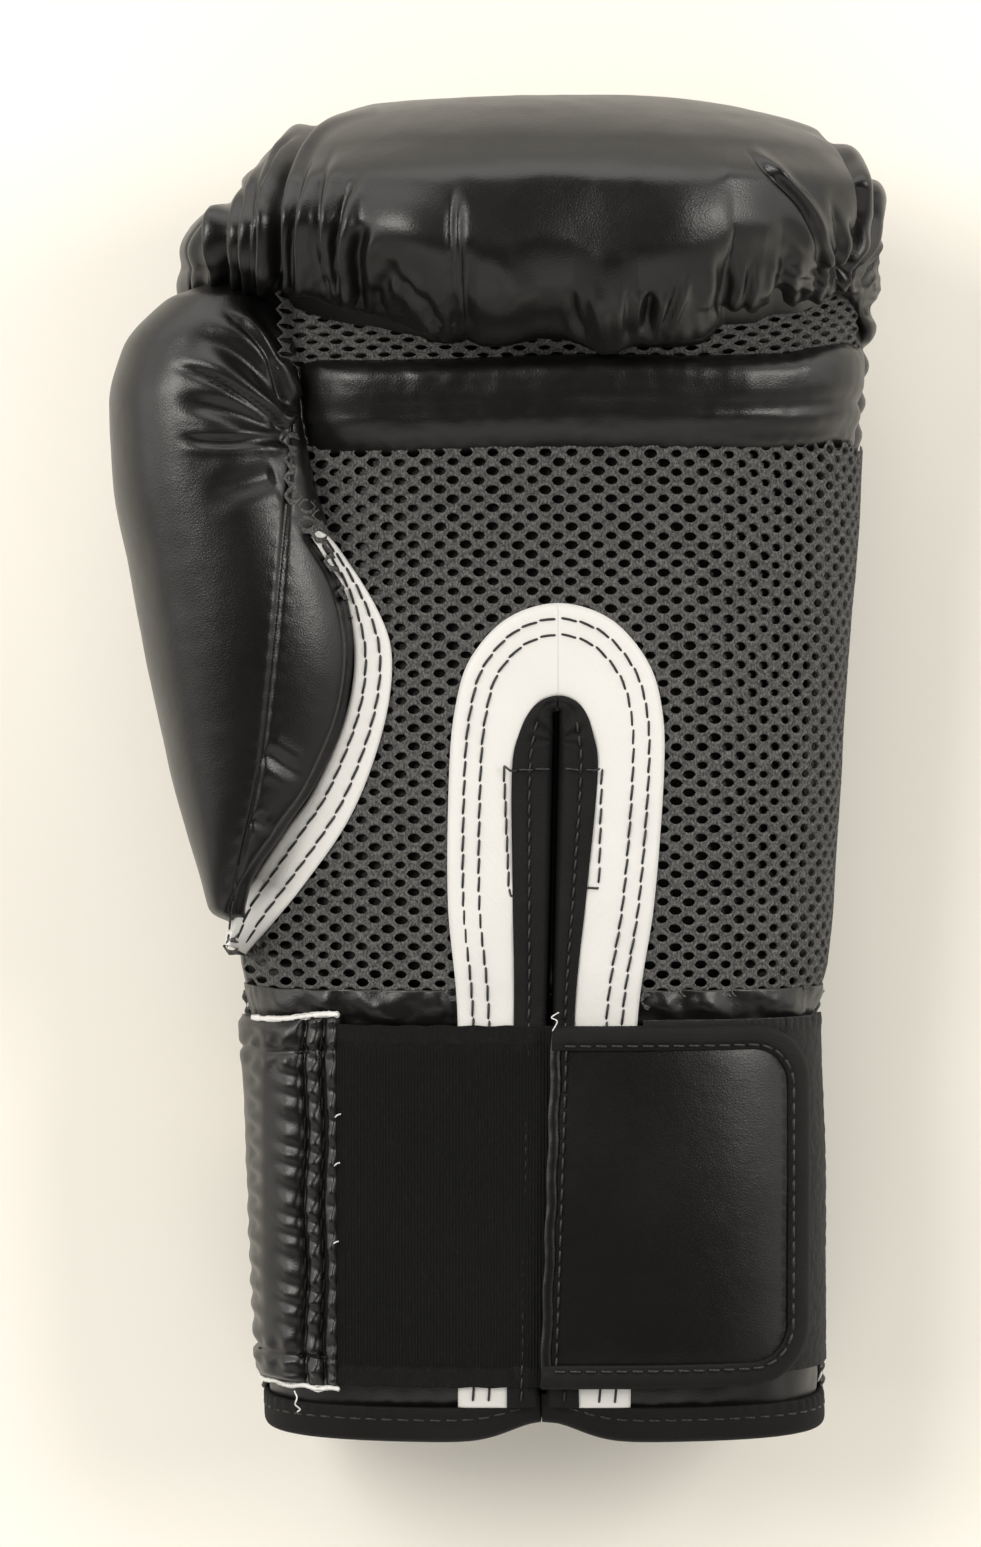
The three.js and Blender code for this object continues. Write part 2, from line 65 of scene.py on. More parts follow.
# Everything below is worked out in millimetres, with y counted from the hem of the cuff, as the
# glove is cut; to_frame() turns it into metres in the frame.
MM = 0.001
HEM_Y = CAD_LOW.y
SEAM_Z = 40.0  # height of the cuff's side seams
EYE = (-1.8, 145.4, 857.0)  # the camera, straight above the palm
SEEN_AT = 70.0  # at this height a plan drawn from above is at its true scale
BEND = (161.0, 99.0)  # two heights on the palm, passed to dress() as the bend of its pieces, which is not applied
SIDES = ((-1, "left"), (1, "right"))
SLIT = {"hem": 9.2, "lean": 3.1, "top": 158.0}  # the wrist slit leans to the right as it rises


def slit_x(y):
    """Where the slit's middle runs at y."""
    return SLIT["hem"] + SLIT["lean"] * np.asarray(y, float) / SLIT["top"]


# ---- forms: rows of y, left, right, low, high, left middle, right middle, squareness ------------

BODY = [
    (0, -51, 71.6, 8, 66, 36, 36, 3), (15, -51.6, 71.3, 7, 70, 37, 37, 3),
    (60, -53.2, 71, 5.5, 72.5, 38, 38, 3), (92, -55, 70, 4, 73, 38, 38, 3),
    (104, -57.5, 73.3, 2.5, 75, 38, 38, 2.9), (130, -60, 75, -1.5, 78, 39, 39, 2.8),
    (170, -63, 77.5, -3, 80, 40, 40, 2.8), (214, -67, 80.6, -3, 82, 41, 41, 2.8),
    (234, -69.5, 81.6, -2, 84, 44, 43, 2.7), (238.3, -70, 81.9, -1.6, 86.5, 46, 44, 2.6),
    (240.6, -70.2, 82, -1.5, 99, 47, 45, 2.5), (243, -70.3, 82.1, -1.2, 107, 49, 46, 2.4),
    (247, -70.3, 82.3, -1, 112.5, 50, 47, 2.4), (256, -67.8, 83.2, 1.5, 117.5, 54, 50, 2.4),
    (265.5, -61, 83.4, 7, 117.5, 56, 53, 2.4), (276, -53.5, 79, 17, 109, 57, 55, 2.4),
    (284, -45.5, 69.8, 29, 96, 58, 57, 2.3), (288.4, -36.5, 58, 39.5, 84, 58, 58, 2.2),
    (290.8, -26, 45, 47, 72.5, 59, 59, 2.1), (291.4, -10, 28, 54, 64.5, 59, 59, 2.1),
]
MOUND = [
    (103, -60, -56.5, 62, 72, 67, 68, 2.2), (120, -63.6, -54, 50, 80, 64, 72, 2.2),
    (133, -67.6, -46, 44, 84, 62, 74, 2.2), (142, -70.3, -39.6, 42, 86, 61, 76, 2.2),
    (159, -74.2, -32.3, 40, 89, 61, 77, 2.2), (172, -77, -30.7, 38, 91, 62, 78, 2.2),
    (190, -80.2, -34, 38, 93, 64, 79, 2.2), (208, -83.2, -39.5, 40, 94, 66, 79, 2.2),
    (224, -83.6, -42.4, 43, 94.5, 68, 78, 2.2), (236, -80.6, -42.9, 48, 93, 70, 76, 2.2),
    (246, -71.8, -48, 58, 88, 73, 75, 2.2), (251.5, -61, -54, 70, 80, 75, 75, 2.2),
]
HAND = [
    (0, -42.5, 63, 16.5, 57.5, 37, 37, 2.8), (60, -44.5, 62.5, 14.5, 63.5, 38, 38, 2.8),
    (98, -46, 61.5, 14.5, 64.5, 39, 39, 2.8), (130, -46, 62, 21, 66, 43, 43, 2.7),
    (170, -43.5, 64, 26, 68, 46, 46, 2.6), (214, -40, 66, 30, 69, 49, 49, 2.6),
    (240, -41, 66, 35, 73, 53, 53, 2.6), (256, -40, 60, 43, 75, 58, 58, 2.4),
    (266, -28, 44, 54, 69, 61, 61, 2.2),
]


def monotone(knots, values, at):
    """A smooth curve through the values that never overshoots them."""
    knots, values = np.asarray(knots, float), np.asarray(values, float)
    rise = np.diff(values) / np.diff(knots)
    slope = np.zeros_like(values)
    before, after = rise[:-1], rise[1:]
    turning = before * after > 0
    slope[1:-1][turning] = (2 * before * after)[turning] / (before + after)[turning]
    i = np.clip(np.searchsorted(knots, at) - 1, 0, len(knots) - 2)
    span = knots[i + 1] - knots[i]
    t = np.clip((at - knots[i]) / span, 0, 1)
    return (
        values[i] * (2 * t**3 - 3 * t**2 + 1) + slope[i] * span * (t**3 - 2 * t**2 + t)
        + values[i + 1] * (3 * t**2 - 2 * t**3) + slope[i + 1] * span * (t**3 - t**2)
    )


def rows_at(form, y):
    """The form's seven measures at each y."""
    table = np.array(form, float)
    return [monotone(table[:, 0], table[:, k], y) for k in range(1, 8)]


def surface(form, y, angle, inset=0.0):
    """Points on a form, `inset` below its outside, at heights y and angles round it."""
    y, angle, inset = np.broadcast_arrays(*(np.asarray(v, float) for v in (y, angle, inset)))
    left, right, low, high, left_mid, right_mid, square = rows_at(form, y)
    c, s = np.cos(angle), np.sin(angle)
    across = np.sign(c) * np.abs(c) ** (2 / square)
    up = np.sign(s) * np.abs(s) ** (2 / square)
    left, right = left + inset, right - inset
    mid = left_mid + (right_mid - left_mid) * (across + 1) / 2
    reach = np.where(up > 0, high - inset - mid, mid - low - inset)
    return np.stack([(left + right) / 2 + across * (right - left) / 2, y, mid + up * reach], -1)


def top(form, x, y, inset=0.0):
    """Height of a form's upper side at x, y."""
    left, right, _, high, left_mid, right_mid, square = rows_at(form, y)
    left, right = left + inset, right - inset
    across = np.clip((2 * x - left - right) / (right - left), -1, 1)
    mid = left_mid + (right_mid - left_mid) * (across + 1) / 2
    up = np.clip(1 - np.abs(across) ** square, 0, 1) ** (1 / square)
    return mid + up * (high - inset - mid)


def angle_at(form, x, y, inset=0.0):
    """The angle at which a form's upper side passes x."""
    measures = rows_at(form, np.asarray(y, float))
    left, right, square = measures[0], measures[1], measures[-1]
    across = np.clip((2 * x - left - right) / (right - left - 2 * inset), -1, 1)
    return np.arccos(np.sign(across) * np.abs(across) ** (square / 2))


def palm(x, y, lift=0.0):
    """Height of the palm side, the thumb's mound included."""
    x, y = np.asarray(x, float), np.asarray(y, float)
    body = top(BODY, x, y)
    left, right = rows_at(MOUND, y)[:2]
    on = (x > left) & (x < right) & (y > MOUND[0][0]) & (y < MOUND[-1][0])
    mound = np.where(on, top(MOUND, x, y), -50.0)
    soft = 1.2
    high = np.maximum(body, mound)
    return high + soft * np.log1p(np.exp(-np.abs(body - mound) / soft)) + lift


WRAP_FROM = 50.0  # beyond this x, around() measures along the glove's surface, over its right side


def wrap_rows(y):
    """For each y: angles round the body from WRAP_FROM to below the right side, and the way."""
    first = angle_at(BODY, WRAP_FROM, y)[:, None]
    angle = first + (-0.7 - first) * np.linspace(0, 1, 260)[None, :]
    line = surface(BODY, y[:, None], angle)
    step = np.hypot(np.diff(line[..., 0], axis=1), np.diff(line[..., 2], axis=1))
    along = WRAP_FROM + np.concatenate([np.zeros((len(y), 1)), np.cumsum(step, 1)], 1)
    return angle, along


def around(x, y, lift):
    """Points on the palm side, `lift` above it; past WRAP_FROM they go round the right side."""
    x, y, lift = (v.ravel() for v in np.broadcast_arrays(*map(np.asarray, (x, y, lift))))
    out = np.stack([x, y, palm(x, y, lift)], -1)
    far = x > WRAP_FROM
    if not far.any():
        return out
    rows = np.arange(math.floor(y[far].min()), math.ceil(y[far].max()) + 2.0)
    angles, along = wrap_rows(rows)
    turn = np.zeros(len(x))
    place = np.clip(y - rows[0], 0, len(rows) - 1.001)
    for k in range(len(rows)):
        for part in (np.floor(place) == k, np.floor(place) == k - 1):
            some = far & part
            weight = 1 - np.abs(place[some] - k)
            turn[some] += weight * np.interp(x[some], along[k], angles[k])
    base = surface(BODY, y[far], turn[far])
    ahead = surface(BODY, y[far], turn[far] + 0.004) - base
    ahead /= np.maximum(np.hypot(ahead[:, 0], ahead[:, 2]), 1e-9)[:, None]
    out[far] = base + np.stack([ahead[:, 2], ahead[:, 1] * 0, -ahead[:, 0]], -1) * lift[far, None]
    return out


SIDE_Y = np.arange(90.0, 256.0, 2.0)
SIDE_TURN, SIDE_WAY = wrap_rows(SIDE_Y)


def side_x(y, angle):
    """How far round the right side a place at that angle lies, as around() counts x."""
    way = [np.interp(-angle, -turn, along) for turn, along in zip(SIDE_TURN, SIDE_WAY)]
    return np.interp(y, SIDE_Y, way)


# ---- meshes -------------------------------------------------------------------------------------


def bell(s, w):
    return np.exp(-((s / w) ** 2))


def bump(value, low, high):
    """A smooth step from 0 at low to 1 at high."""
    t = np.clip((value - low) / (high - low), 0, 1)
    return t * t * (3 - 2 * t)


def seen(p):
    """Where points appear in a plan drawn from above: what stands higher looks further out."""
    scale = (EYE[2] - SEEN_AT) / (EYE[2] - p[..., 2])
    plan = p.copy()
    plan[..., 0] = EYE[0] + (p[..., 0] - EYE[0]) * scale
    plan[..., 1] = EYE[1] + (p[..., 1] - EYE[1]) * scale
    return plan


def to_frame(points):
    """Millimetres from the hem into metres in the frame."""
    placed = np.array(points, float).reshape(-1, 3) * MM
    placed[:, 1] += HEM_Y
    return placed


def spot(x, y, z):
    return tuple(to_frame([(x, y, z)])[0])


def tidy(mesh, weld=0.0):
    """Turns every face outwards, shades it smooth and, if asked, joins corners that touch."""
    shell = bmesh.new()
    shell.from_mesh(mesh)
    if weld:
        bmesh.ops.remove_doubles(shell, verts=shell.verts, dist=weld)
    bmesh.ops.recalc_face_normals(shell, faces=shell.faces)
    shell.to_mesh(mesh)
    shell.free()
    mesh.shade_smooth()


def make(name, points, faces):
    """A piece in the scene from its points, in millimetres, and its faces."""
    mesh = bpy.data.meshes.new(name)
    mesh.from_pydata(to_frame(points).tolist(), [], [list(f) for f in faces])
    mesh.validate()
    tidy(mesh)
    piece = bpy.data.objects.new(name, mesh)
    bpy.context.scene.collection.objects.link(piece)
    return piece


def grid_faces(rows, columns, wrap, start=0, flip=False):
    """Four-cornered faces of a grid of points, whose last column may join its first."""
    i, j = np.meshgrid(np.arange(rows - 1), np.arange(columns - (not wrap)), indexing="ij")
    k = (j + 1) % columns
    quads = np.stack([i * columns + j, i * columns + k, (i + 1) * columns + k,
                      (i + 1) * columns + j], -1).reshape(-1, 4) + start
    return quads[:, ::-1] if flip else quads


def normals(grid, wrap=False):
    """Outward normals of a grid of points, rows running along y and columns against the angle."""
    along = np.gradient(grid, axis=0)
    if wrap:
        round_it = np.roll(grid, -1, 1) - np.roll(grid, 1, 1)
    else:
        round_it = np.gradient(grid, axis=1)
    n = np.cross(along, round_it)
    n /= np.maximum(np.linalg.norm(n, axis=-1, keepdims=True), 1e-9)
    return n


def slab(name, outside, inside, wrap=False):
    """A closed sheet between two grids of the same size, the second one behind the first."""
    rows, columns = outside.shape[:2]
    count = rows * columns
    faces = [grid_faces(rows, columns, wrap), grid_faces(rows, columns, wrap, count, True)]
    edges = [np.arange(columns), np.arange(columns) + (rows - 1) * columns]
    if wrap:
        edges = [np.append(edge, edge[0]) for edge in edges]
    else:
        edges += [np.arange(rows) * columns, np.arange(rows) * columns + columns - 1]
    for edge in edges:
        a, b = edge[:-1], edge[1:]
        faces.append(np.stack([a, a + count, b + count, b], -1))
    points = np.concatenate([outside.reshape(-1, 3), inside.reshape(-1, 3)])
    piece = make(name, points, np.concatenate(faces).tolist())
    walls = len(faces[0]) + len(faces[1])
    for face in piece.data.polygons[walls:]:
        face.use_smooth = False
    return piece


def close_end(faces, start, columns):
    faces.append(list(range(start, start + columns)))


def capped(name, rings):
    """A closed body from rings of points, flat at both ends."""
    rows, columns = rings.shape[:2]
    faces = grid_faces(rows, columns, True).tolist()
    close_end(faces, 0, columns)
    close_end(faces, (rows - 1) * columns, columns)
    return make(name, rings.reshape(-1, 3), faces)


def level(plan):
    """Points in plan as points at height 0."""
    return np.dstack([plan, plan[..., :1] * 0])


def facing_up(grid):
    """The grid of a sheet laid on the palm, its columns put in the order that normals() wants."""
    return grid if normals(grid)[..., 2].mean() > 0 else grid[:, ::-1]


def sheet_of(name, grid, thickness):
    """A sheet of cloth or leather whose outer face is the grid."""
    return slab(name, grid, grid - normals(grid) * thickness)


def laid_sheet(name, plan, z, thickness):
    """A sheet laid on the palm side, from its plan and its heights."""
    return sheet_of(name, facing_up(np.dstack([plan, z])), thickness)


def join(name, parts):
    """One piece from (points, faces) pairs."""
    points, faces, start = [], [], 0
    for p, f in parts:
        points.append(np.asarray(p, float))
        faces += [[k + start for k in face] for face in f]
        start += len(p)
    return make(name, np.concatenate(points), faces)


# ---- curves in plan -----------------------------------------------------------------------------


def resample(points, count):
    """Points evenly spaced along a line, straight between its corners."""
    points = np.asarray(points, float)
    at = np.concatenate([[0], np.cumsum(np.linalg.norm(np.diff(points, axis=0), axis=1))])
    to = np.linspace(0, at[-1], count)
    return np.stack([np.interp(to, at, points[:, k]) for k in range(points.shape[1])], -1)


def spline(points, count=200):
    """A Catmull-Rom curve through the points, evenly spaced."""
    p = np.asarray(points, float)
    p = np.concatenate([[2 * p[0] - p[1]], p, [2 * p[-1] - p[-2]]])
    t = np.linspace(0, 1, 24, endpoint=False)[:, None]
    runs = []
    for a, b, c, d in zip(p, p[1:], p[2:], p[3:]):
        runs.append(0.5 * (2 * b + (c - a) * t + (2 * a - 5 * b + 4 * c - d) * t**2
                           + (3 * b - a - 3 * c + d) * t**3))
    return resample(np.concatenate(runs + [p[-2][None]]), count)


def offset(line, by):
    """The curve moved sideways, to its left for a positive distance."""
    along = np.gradient(np.asarray(line, float), axis=0)
    along /= np.linalg.norm(along, axis=1, keepdims=True)
    return line + np.stack([-along[:, 1], along[:, 0]], -1) * by


def turns(count):
    """Angles once round, evenly spaced."""
    return np.linspace(0, 2 * np.pi, count, endpoint=False)


def between(a, b, across):
    """A grid of points from one line to another."""
    t = np.linspace(0, 1, across)[None, :, None]
    return a[:, None] * (1 - t) + b[:, None] * t


# ---- sculpting ----------------------------------------------------------------------------------


def crease(s, w):
    """A valley between two low banks."""
    return 0.45 * bell(np.abs(s) - 2.0 * w, w) - bell(s, w)


def pleat(s, w):
    """A fold that laps over: a full roll on its left side, a sharp step down on its right."""
    return 0.9 * bell(s - w, 1.1 * w) - 1.1 * bell(s + 0.25 * w, 0.4 * w)


SHAPES = {"crease": crease, "pleat": pleat, "ridge": bell}


def stroke(points, line, width, depth, kind, ends):
    """Height to add at plan points for one stroke along a line, tapering towards its ends."""
    line = spline(line, 40)
    x, y = points[..., 0], points[..., 1]
    near = 5 * width
    mask = ((x > line[:, 0].min() - near) & (x < line[:, 0].max() + near)
            & (y > line[:, 1].min() - near) & (y < line[:, 1].max() + near))
    out = np.zeros_like(x)
    p = np.stack([x[mask], y[mask]], -1)
    if not len(p):
        return out
    best = np.full(len(p), 1e9)
    side = np.zeros(len(p))
    place = np.zeros(len(p))
    for k in range(len(line) - 1):
        a, d = line[k], line[k + 1] - line[k]
        t = np.clip(((p - a) @ d) / (d @ d), 0, 1)
        gap = p - a - t[:, None] * d
        dist = np.hypot(gap[:, 0], gap[:, 1])
        closer = dist < best
        best = np.where(closer, dist, best)
        side = np.where(closer, np.sign(d[0] * gap[:, 1] - d[1] * gap[:, 0]), side)
        place = np.where(closer, (k + t) / (len(line) - 1), place)
    ramp = np.clip(place / max(ends[0], 1e-6), 0, 1)
    ramp = ramp * np.clip((1 - place) / max(ends[1], 1e-6), 0, 1)
    ramp = ramp * ramp * (3 - 2 * ramp)
    beyond = ((place <= 0) | (place >= 1)) & (best > 0.5)
    height = depth * SHAPES[kind](side * best, width)
    out[mask] = height * np.where(beyond & (ramp <= 0), 0, ramp)
    return out


def folded(points, folds):
    """The height that a list of folds adds at plan points."""
    return sum(stroke(points, *fold) for fold in folds)


def rough(points, size, seed, depth=2):
    """Smooth noise at each point, features about `size` millimetres wide."""
    flat = np.asarray(points, float).reshape(-1, 3) / size + seed
    out = [noise.fractal(Vector(p), 0.7, 2.1, depth) for p in flat]
    return np.array(out).reshape(np.shape(points)[:-1])


# ---- materials ----------------------------------------------------------------------------------


class Finish:
    """A material built node by node: inputs are values or sockets of other nodes."""

    def __init__(self, name):
        self.material = bpy.data.materials.new(name)
        self.material.use_nodes = True
        self.tree = self.material.node_tree
        self.tree.nodes.clear()
        self.place = self.node("TexCoord").outputs["Object"]

    def node(self, kind, **settings):
        made = self.tree.nodes.new("ShaderNode" + kind)
        for key, value in settings.items():
            setattr(made, key, value)
        return made

    def feed(self, socket, value):
        if isinstance(value, bpy.types.NodeSocket):
            self.tree.links.new(value, socket)
        else:
            socket.default_value = value

    def put(self, node, **inputs):
        for key, value in inputs.items():
            self.feed(node.inputs[key.replace("_", " ")], value)
        return node

    def stretched(self, scale):
        node = self.node("Mapping")
        self.put(node, Vector=self.place, Scale=scale)
        return node.outputs["Vector"]

    def noise(self, scale, detail, vector=None, distortion=0.0):
        node = self.node("TexNoise")
        self.put(node, Vector=vector or self.place, Scale=scale, Detail=detail,
                 Distortion=distortion)
        return node.outputs["Fac"]

    def cells(self, scale, feature="DISTANCE_TO_EDGE"):
        node = self.node("TexVoronoi", feature=feature)
        self.put(node, Vector=self.place, Scale=scale)
        return node.outputs["Distance"]

    def waves(self, scale, direction, distortion=0.0):
        node = self.node("TexWave", bands_direction=direction)
        self.put(node, Vector=self.place, Scale=scale, Distortion=distortion)
        return node.outputs["Fac"]

    def math(self, operation, a, b):
        node = self.node("Math", operation=operation)
        for socket, value in zip(node.inputs, (a, b)):
            self.feed(socket, value)
        return node.outputs[0]

    def between(self, value, low, high, to=(0.0, 1.0)):
        node = self.node("MapRange")
        self.put(node, Value=value, From_Min=low, From_Max=high, To_Min=to[0], To_Max=to[1])
        return node.outputs["Result"]

    def mix(self, factor, a, b):
        node = self.node("Mix", data_type="RGBA")
        for k, value in ((0, factor), (6, a), (7, b)):
            self.feed(node.inputs[k], value)
        return node.outputs[2]

    def bumps(self, height, distance, strength, normal=None):
        node = self.node("Bump")
        self.put(node, Height=height, Distance=distance, Strength=strength)
        if normal:
            self.tree.links.new(normal, node.inputs["Normal"])
        return node.outputs["Normal"]

    def done(self, **inputs):
        shader = self.put(self.node("BsdfPrincipled"), **inputs)
        out = self.node("OutputMaterial")
        self.tree.links.new(shader.outputs[0], out.inputs["Surface"])
        return self.material


def leather_finish():
    """Black imitation leather: fine pebbled grain, soft creasing, slightly uneven gloss."""
    f = Finish("black_leather")
    grain = f.cells(1500.0)
    veins = f.noise(420.0, 5.0, distortion=0.6)
    waves = f.noise(90.0, 3.0)
    patches = f.noise(28.0, 3.0)
    fine = f.bumps(f.between(grain, 0.0, 0.35), 0.00003, 0.5)
    soft = f.bumps(veins, 0.0001, 0.35, fine)
    broad = f.bumps(waves, 0.0005, 0.22, soft)
    return f.done(
        Base_Color=f.mix(patches, (0.0022, 0.002, 0.002, 1), (0.0042, 0.0038, 0.0036, 1)),
        Roughness=f.between(f.math("ADD", f.math("MULTIPLY", veins, 0.4), patches), 0.3, 1.1,
                            (0.3, 0.39)),
        Specular_IOR_Level=0.5, Normal=broad)


def binding_finish():
    """Matte woven bias tape."""
    f = Finish("black_binding")
    warp = f.waves(900.0, "DIAGONAL")
    weft = f.waves(900.0, "Y", 0.3)
    lint = f.noise(1400.0, 3.0)
    wear = f.noise(60.0, 4.0)
    height = f.math("ADD", f.math("MULTIPLY", warp, weft), f.math("MULTIPLY", lint, 0.6))
    return f.done(
        Base_Color=f.mix(wear, (0.0045, 0.0045, 0.0046, 1), (0.010, 0.0097, 0.0097, 1)),
        Roughness=0.75, Specular_IOR_Level=0.16,
        Normal=f.bumps(height, 0.0001, 0.6))


def air_mesh_finish():
    """Dark grey spacer mesh: knitted fibres, paler where they are brushed."""
    f = Finish("air_mesh")
    fibre = f.noise(2600.0, 4.0, f.stretched((1.0, 0.45, 1.0)))
    fuzz = f.noise(5200.0, 2.0)
    drift = f.noise(45.0, 3.0)
    pale = f.between(f.math("ADD", fibre, f.math("MULTIPLY", fuzz, 0.5)), 0.62, 1.05)
    dark = f.mix(drift, (0.020, 0.020, 0.0205, 1), (0.030, 0.0295, 0.0295, 1))
    return f.done(
        Base_Color=f.mix(pale, dark, (0.16, 0.157, 0.15, 1)),
        Roughness=0.8, Specular_IOR_Level=0.35,
        Normal=f.bumps(f.math("ADD", fibre, fuzz), 0.00018, 0.8))


def white_finish():
    """Smooth white imitation leather, faintly pored and not quite even."""
    f = Finish("white_leather")
    pores = f.cells(1700.0, "F1")
    drift = f.noise(35.0, 4.0)
    stain = f.noise(9.0, 3.0)
    colour = f.mix(drift, (0.58, 0.572, 0.55, 1), (0.63, 0.622, 0.6, 1))
    return f.done(
        Base_Color=f.mix(f.between(stain, 0.62, 0.8, (0.0, 0.25)), colour, (0.58, 0.545, 0.47, 1)),
        Roughness=f.between(drift, 0.3, 0.7, (0.42, 0.55)), Specular_IOR_Level=0.4,
        Normal=f.bumps(f.math("ADD", pores, drift), 0.00008, 0.35))


def elastic_finish():
    """Knitted elastic, its cross yarns and lint."""
    f = Finish("elastic")
    yarn = f.waves(1500.0, "Y", 0.6)
    lint = f.noise(1800.0, 3.0)
    drift = f.noise(30.0, 3.0)
    pale = f.between(lint, 0.5, 0.8, (0.0, 0.5))
    dark = f.mix(drift, (0.004, 0.004, 0.004, 1), (0.007, 0.0068, 0.0068, 1))
    return f.done(
        Base_Color=f.mix(pale, dark, (0.02, 0.0192, 0.0185, 1)), Roughness=0.8,
        Specular_IOR_Level=0.14,
        Normal=f.bumps(f.math("ADD", yarn, lint), 0.00012, 0.7))


def pile_finish():
    """The soft side of hook and loop tape."""
    f = Finish("loop_pile")
    fuzz = f.noise(1900.0, 4.0, distortion=1.5)
    drift = f.noise(120.0, 3.0)
    return f.done(
        Base_Color=f.mix(fuzz, (0.005, 0.005, 0.005, 1), (0.02, 0.019, 0.019, 1)),
        Roughness=0.9, Sheen_Weight=0.08, Sheen_Roughness=0.35, Specular_IOR_Level=0.3,
        Normal=f.bumps(f.math("ADD", fuzz, drift), 0.0004, 0.9))


def thread_finish(name, dark, pale):
    """Twisted thread, or the hooks of hook tape."""
    f = Finish(name)
    twist = f.waves(1300.0, "DIAGONAL", 0.5)
    lint = f.noise(2500.0, 2.0)
    return f.done(Base_Color=f.mix(f.math("MULTIPLY", twist, lint), dark, pale), Roughness=0.45,
                  Normal=f.bumps(twist, 0.00006, 0.6))


def lining_finish():
    """Thin woven lining."""
    f = Finish("lining")
    weave = f.waves(1400.0, "DIAGONAL", 0.2)
    folds = f.noise(60.0, 3.0)
    return f.done(
        Base_Color=f.mix(folds, (0.012, 0.012, 0.015, 1), (0.024, 0.024, 0.028, 1)),
        Roughness=f.between(weave, 0.0, 1.0, (0.42, 0.6)), Sheen_Weight=0.2,
        Normal=f.bumps(f.math("ADD", f.math("MULTIPLY", weave, 0.3), folds), 0.0003, 0.4))


def foam_finish():
    """Cut foam, yellowish and porous."""
    f = Finish("foam")
    pores = f.cells(900.0, "F1")
    drift = f.noise(40.0, 3.0)
    return f.done(
        Base_Color=f.mix(drift, (0.33, 0.30, 0.22, 1), (0.42, 0.38, 0.28, 1)), Roughness=0.95,
        Normal=f.bumps(pores, 0.0004, 0.8))


def badge_finish():
    """Cream moulded rubber, without any mark."""
    f = Finish("badge")
    drift = f.noise(60.0, 3.0)
    return f.done(
        Base_Color=f.mix(drift, (0.66, 0.62, 0.43, 1), (0.74, 0.71, 0.52, 1)), Roughness=0.45,
        Coat_Weight=0.2, Normal=f.bumps(f.noise(900.0, 3.0), 0.00006, 0.4))


def floor_finish():
    """Plain cream paper."""
    f = Finish("floor")
    drift = f.noise(6.0, 2.0)
    return f.done(Base_Color=f.mix(drift, (0.8, 0.77, 0.705, 1), (0.81, 0.78, 0.715, 1)),
                  Roughness=0.9, Specular_IOR_Level=0.1)


FINISHES = {
    "black_leather": leather_finish(),
    "black_binding": binding_finish(),
    "air_mesh": air_mesh_finish(),
    "white_leather": white_finish(),
    "elastic": elastic_finish(),
    "loop_pile": pile_finish(),
    "hook_tape": thread_finish("hook_tape", (0.01, 0.01, 0.01, 1), (0.05, 0.05, 0.05, 1)),
    "lining": lining_finish(),
    "foam": foam_finish(),
    "badge": badge_finish(),
}
BLACK_THREAD = thread_finish("black_thread", (0.006, 0.006, 0.006, 1), (0.02, 0.019, 0.018, 1))
PALE_THREAD = thread_finish("pale_thread", (0.55, 0.54, 0.52, 1), (0.8, 0.79, 0.77, 1))

for entry in frame["record"]["subparts"]:
    cad = frame["nodes"][entry["node"]]
    cad.data.materials.clear()
    cad.data.materials.append(FINISHES[entry["material_slot"]])


def dress(piece, body, slot, finish=None, replaces=(), bend=None):
    """Gives a piece its material, by its slot unless a finish is given, hides the nodes it stands
    for and ties it to the body it moves with; with a bend it is only baked in place instead.
    """
    piece.data.materials.clear()
    piece.data.materials.append(finish or FINISHES[slot])
    if replaces:
        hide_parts(*replaces)
    if bend:
        (x0, y0), (x1, y1) = bend
        spot(x0, y0, 60)
        spot(x1, y1, 60)
        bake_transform(piece)
    else:
        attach(piece, body)
    return piece


def palm_bend(side):
    """The flap's body on one side of the slit, and two heights on the palm passed on as its bend,
    which dress() does not apply.
    """
    return ("cuff_left" if side < 0 else "cuff_right", ((10.0, BEND[0]), (10.0, BEND[1])))


# ---- stitches -----------------------------------------------------------------------------------


def tube(path, radius, around=6):
    """Points and faces of a closed round thread along a path."""
    path = np.asarray(path, float)
    along = np.gradient(path, axis=0)
    along /= np.maximum(np.linalg.norm(along, axis=1, keepdims=True), 1e-9)
    helper = np.where(np.abs(along[:, 2:3]) > 0.9, [[1.0, 0, 0]], [[0, 0, 1.0]])
    side = np.cross(along, helper)
    side /= np.linalg.norm(side, axis=1, keepdims=True)
    up = np.cross(side, along)
    angle = turns(around)
    radius = np.broadcast_to(radius, len(path))[:, None, None]
    ring = side[:, None] * np.cos(angle)[:, None] + up[:, None] * np.sin(angle)[:, None]
    points = (path[:, None] + ring * radius).reshape(-1, 3)
    faces = grid_faces(len(path), around, True).tolist()
    close_end(faces, 0, around)
    close_end(faces, len(points) - around, around)
    return points, faces


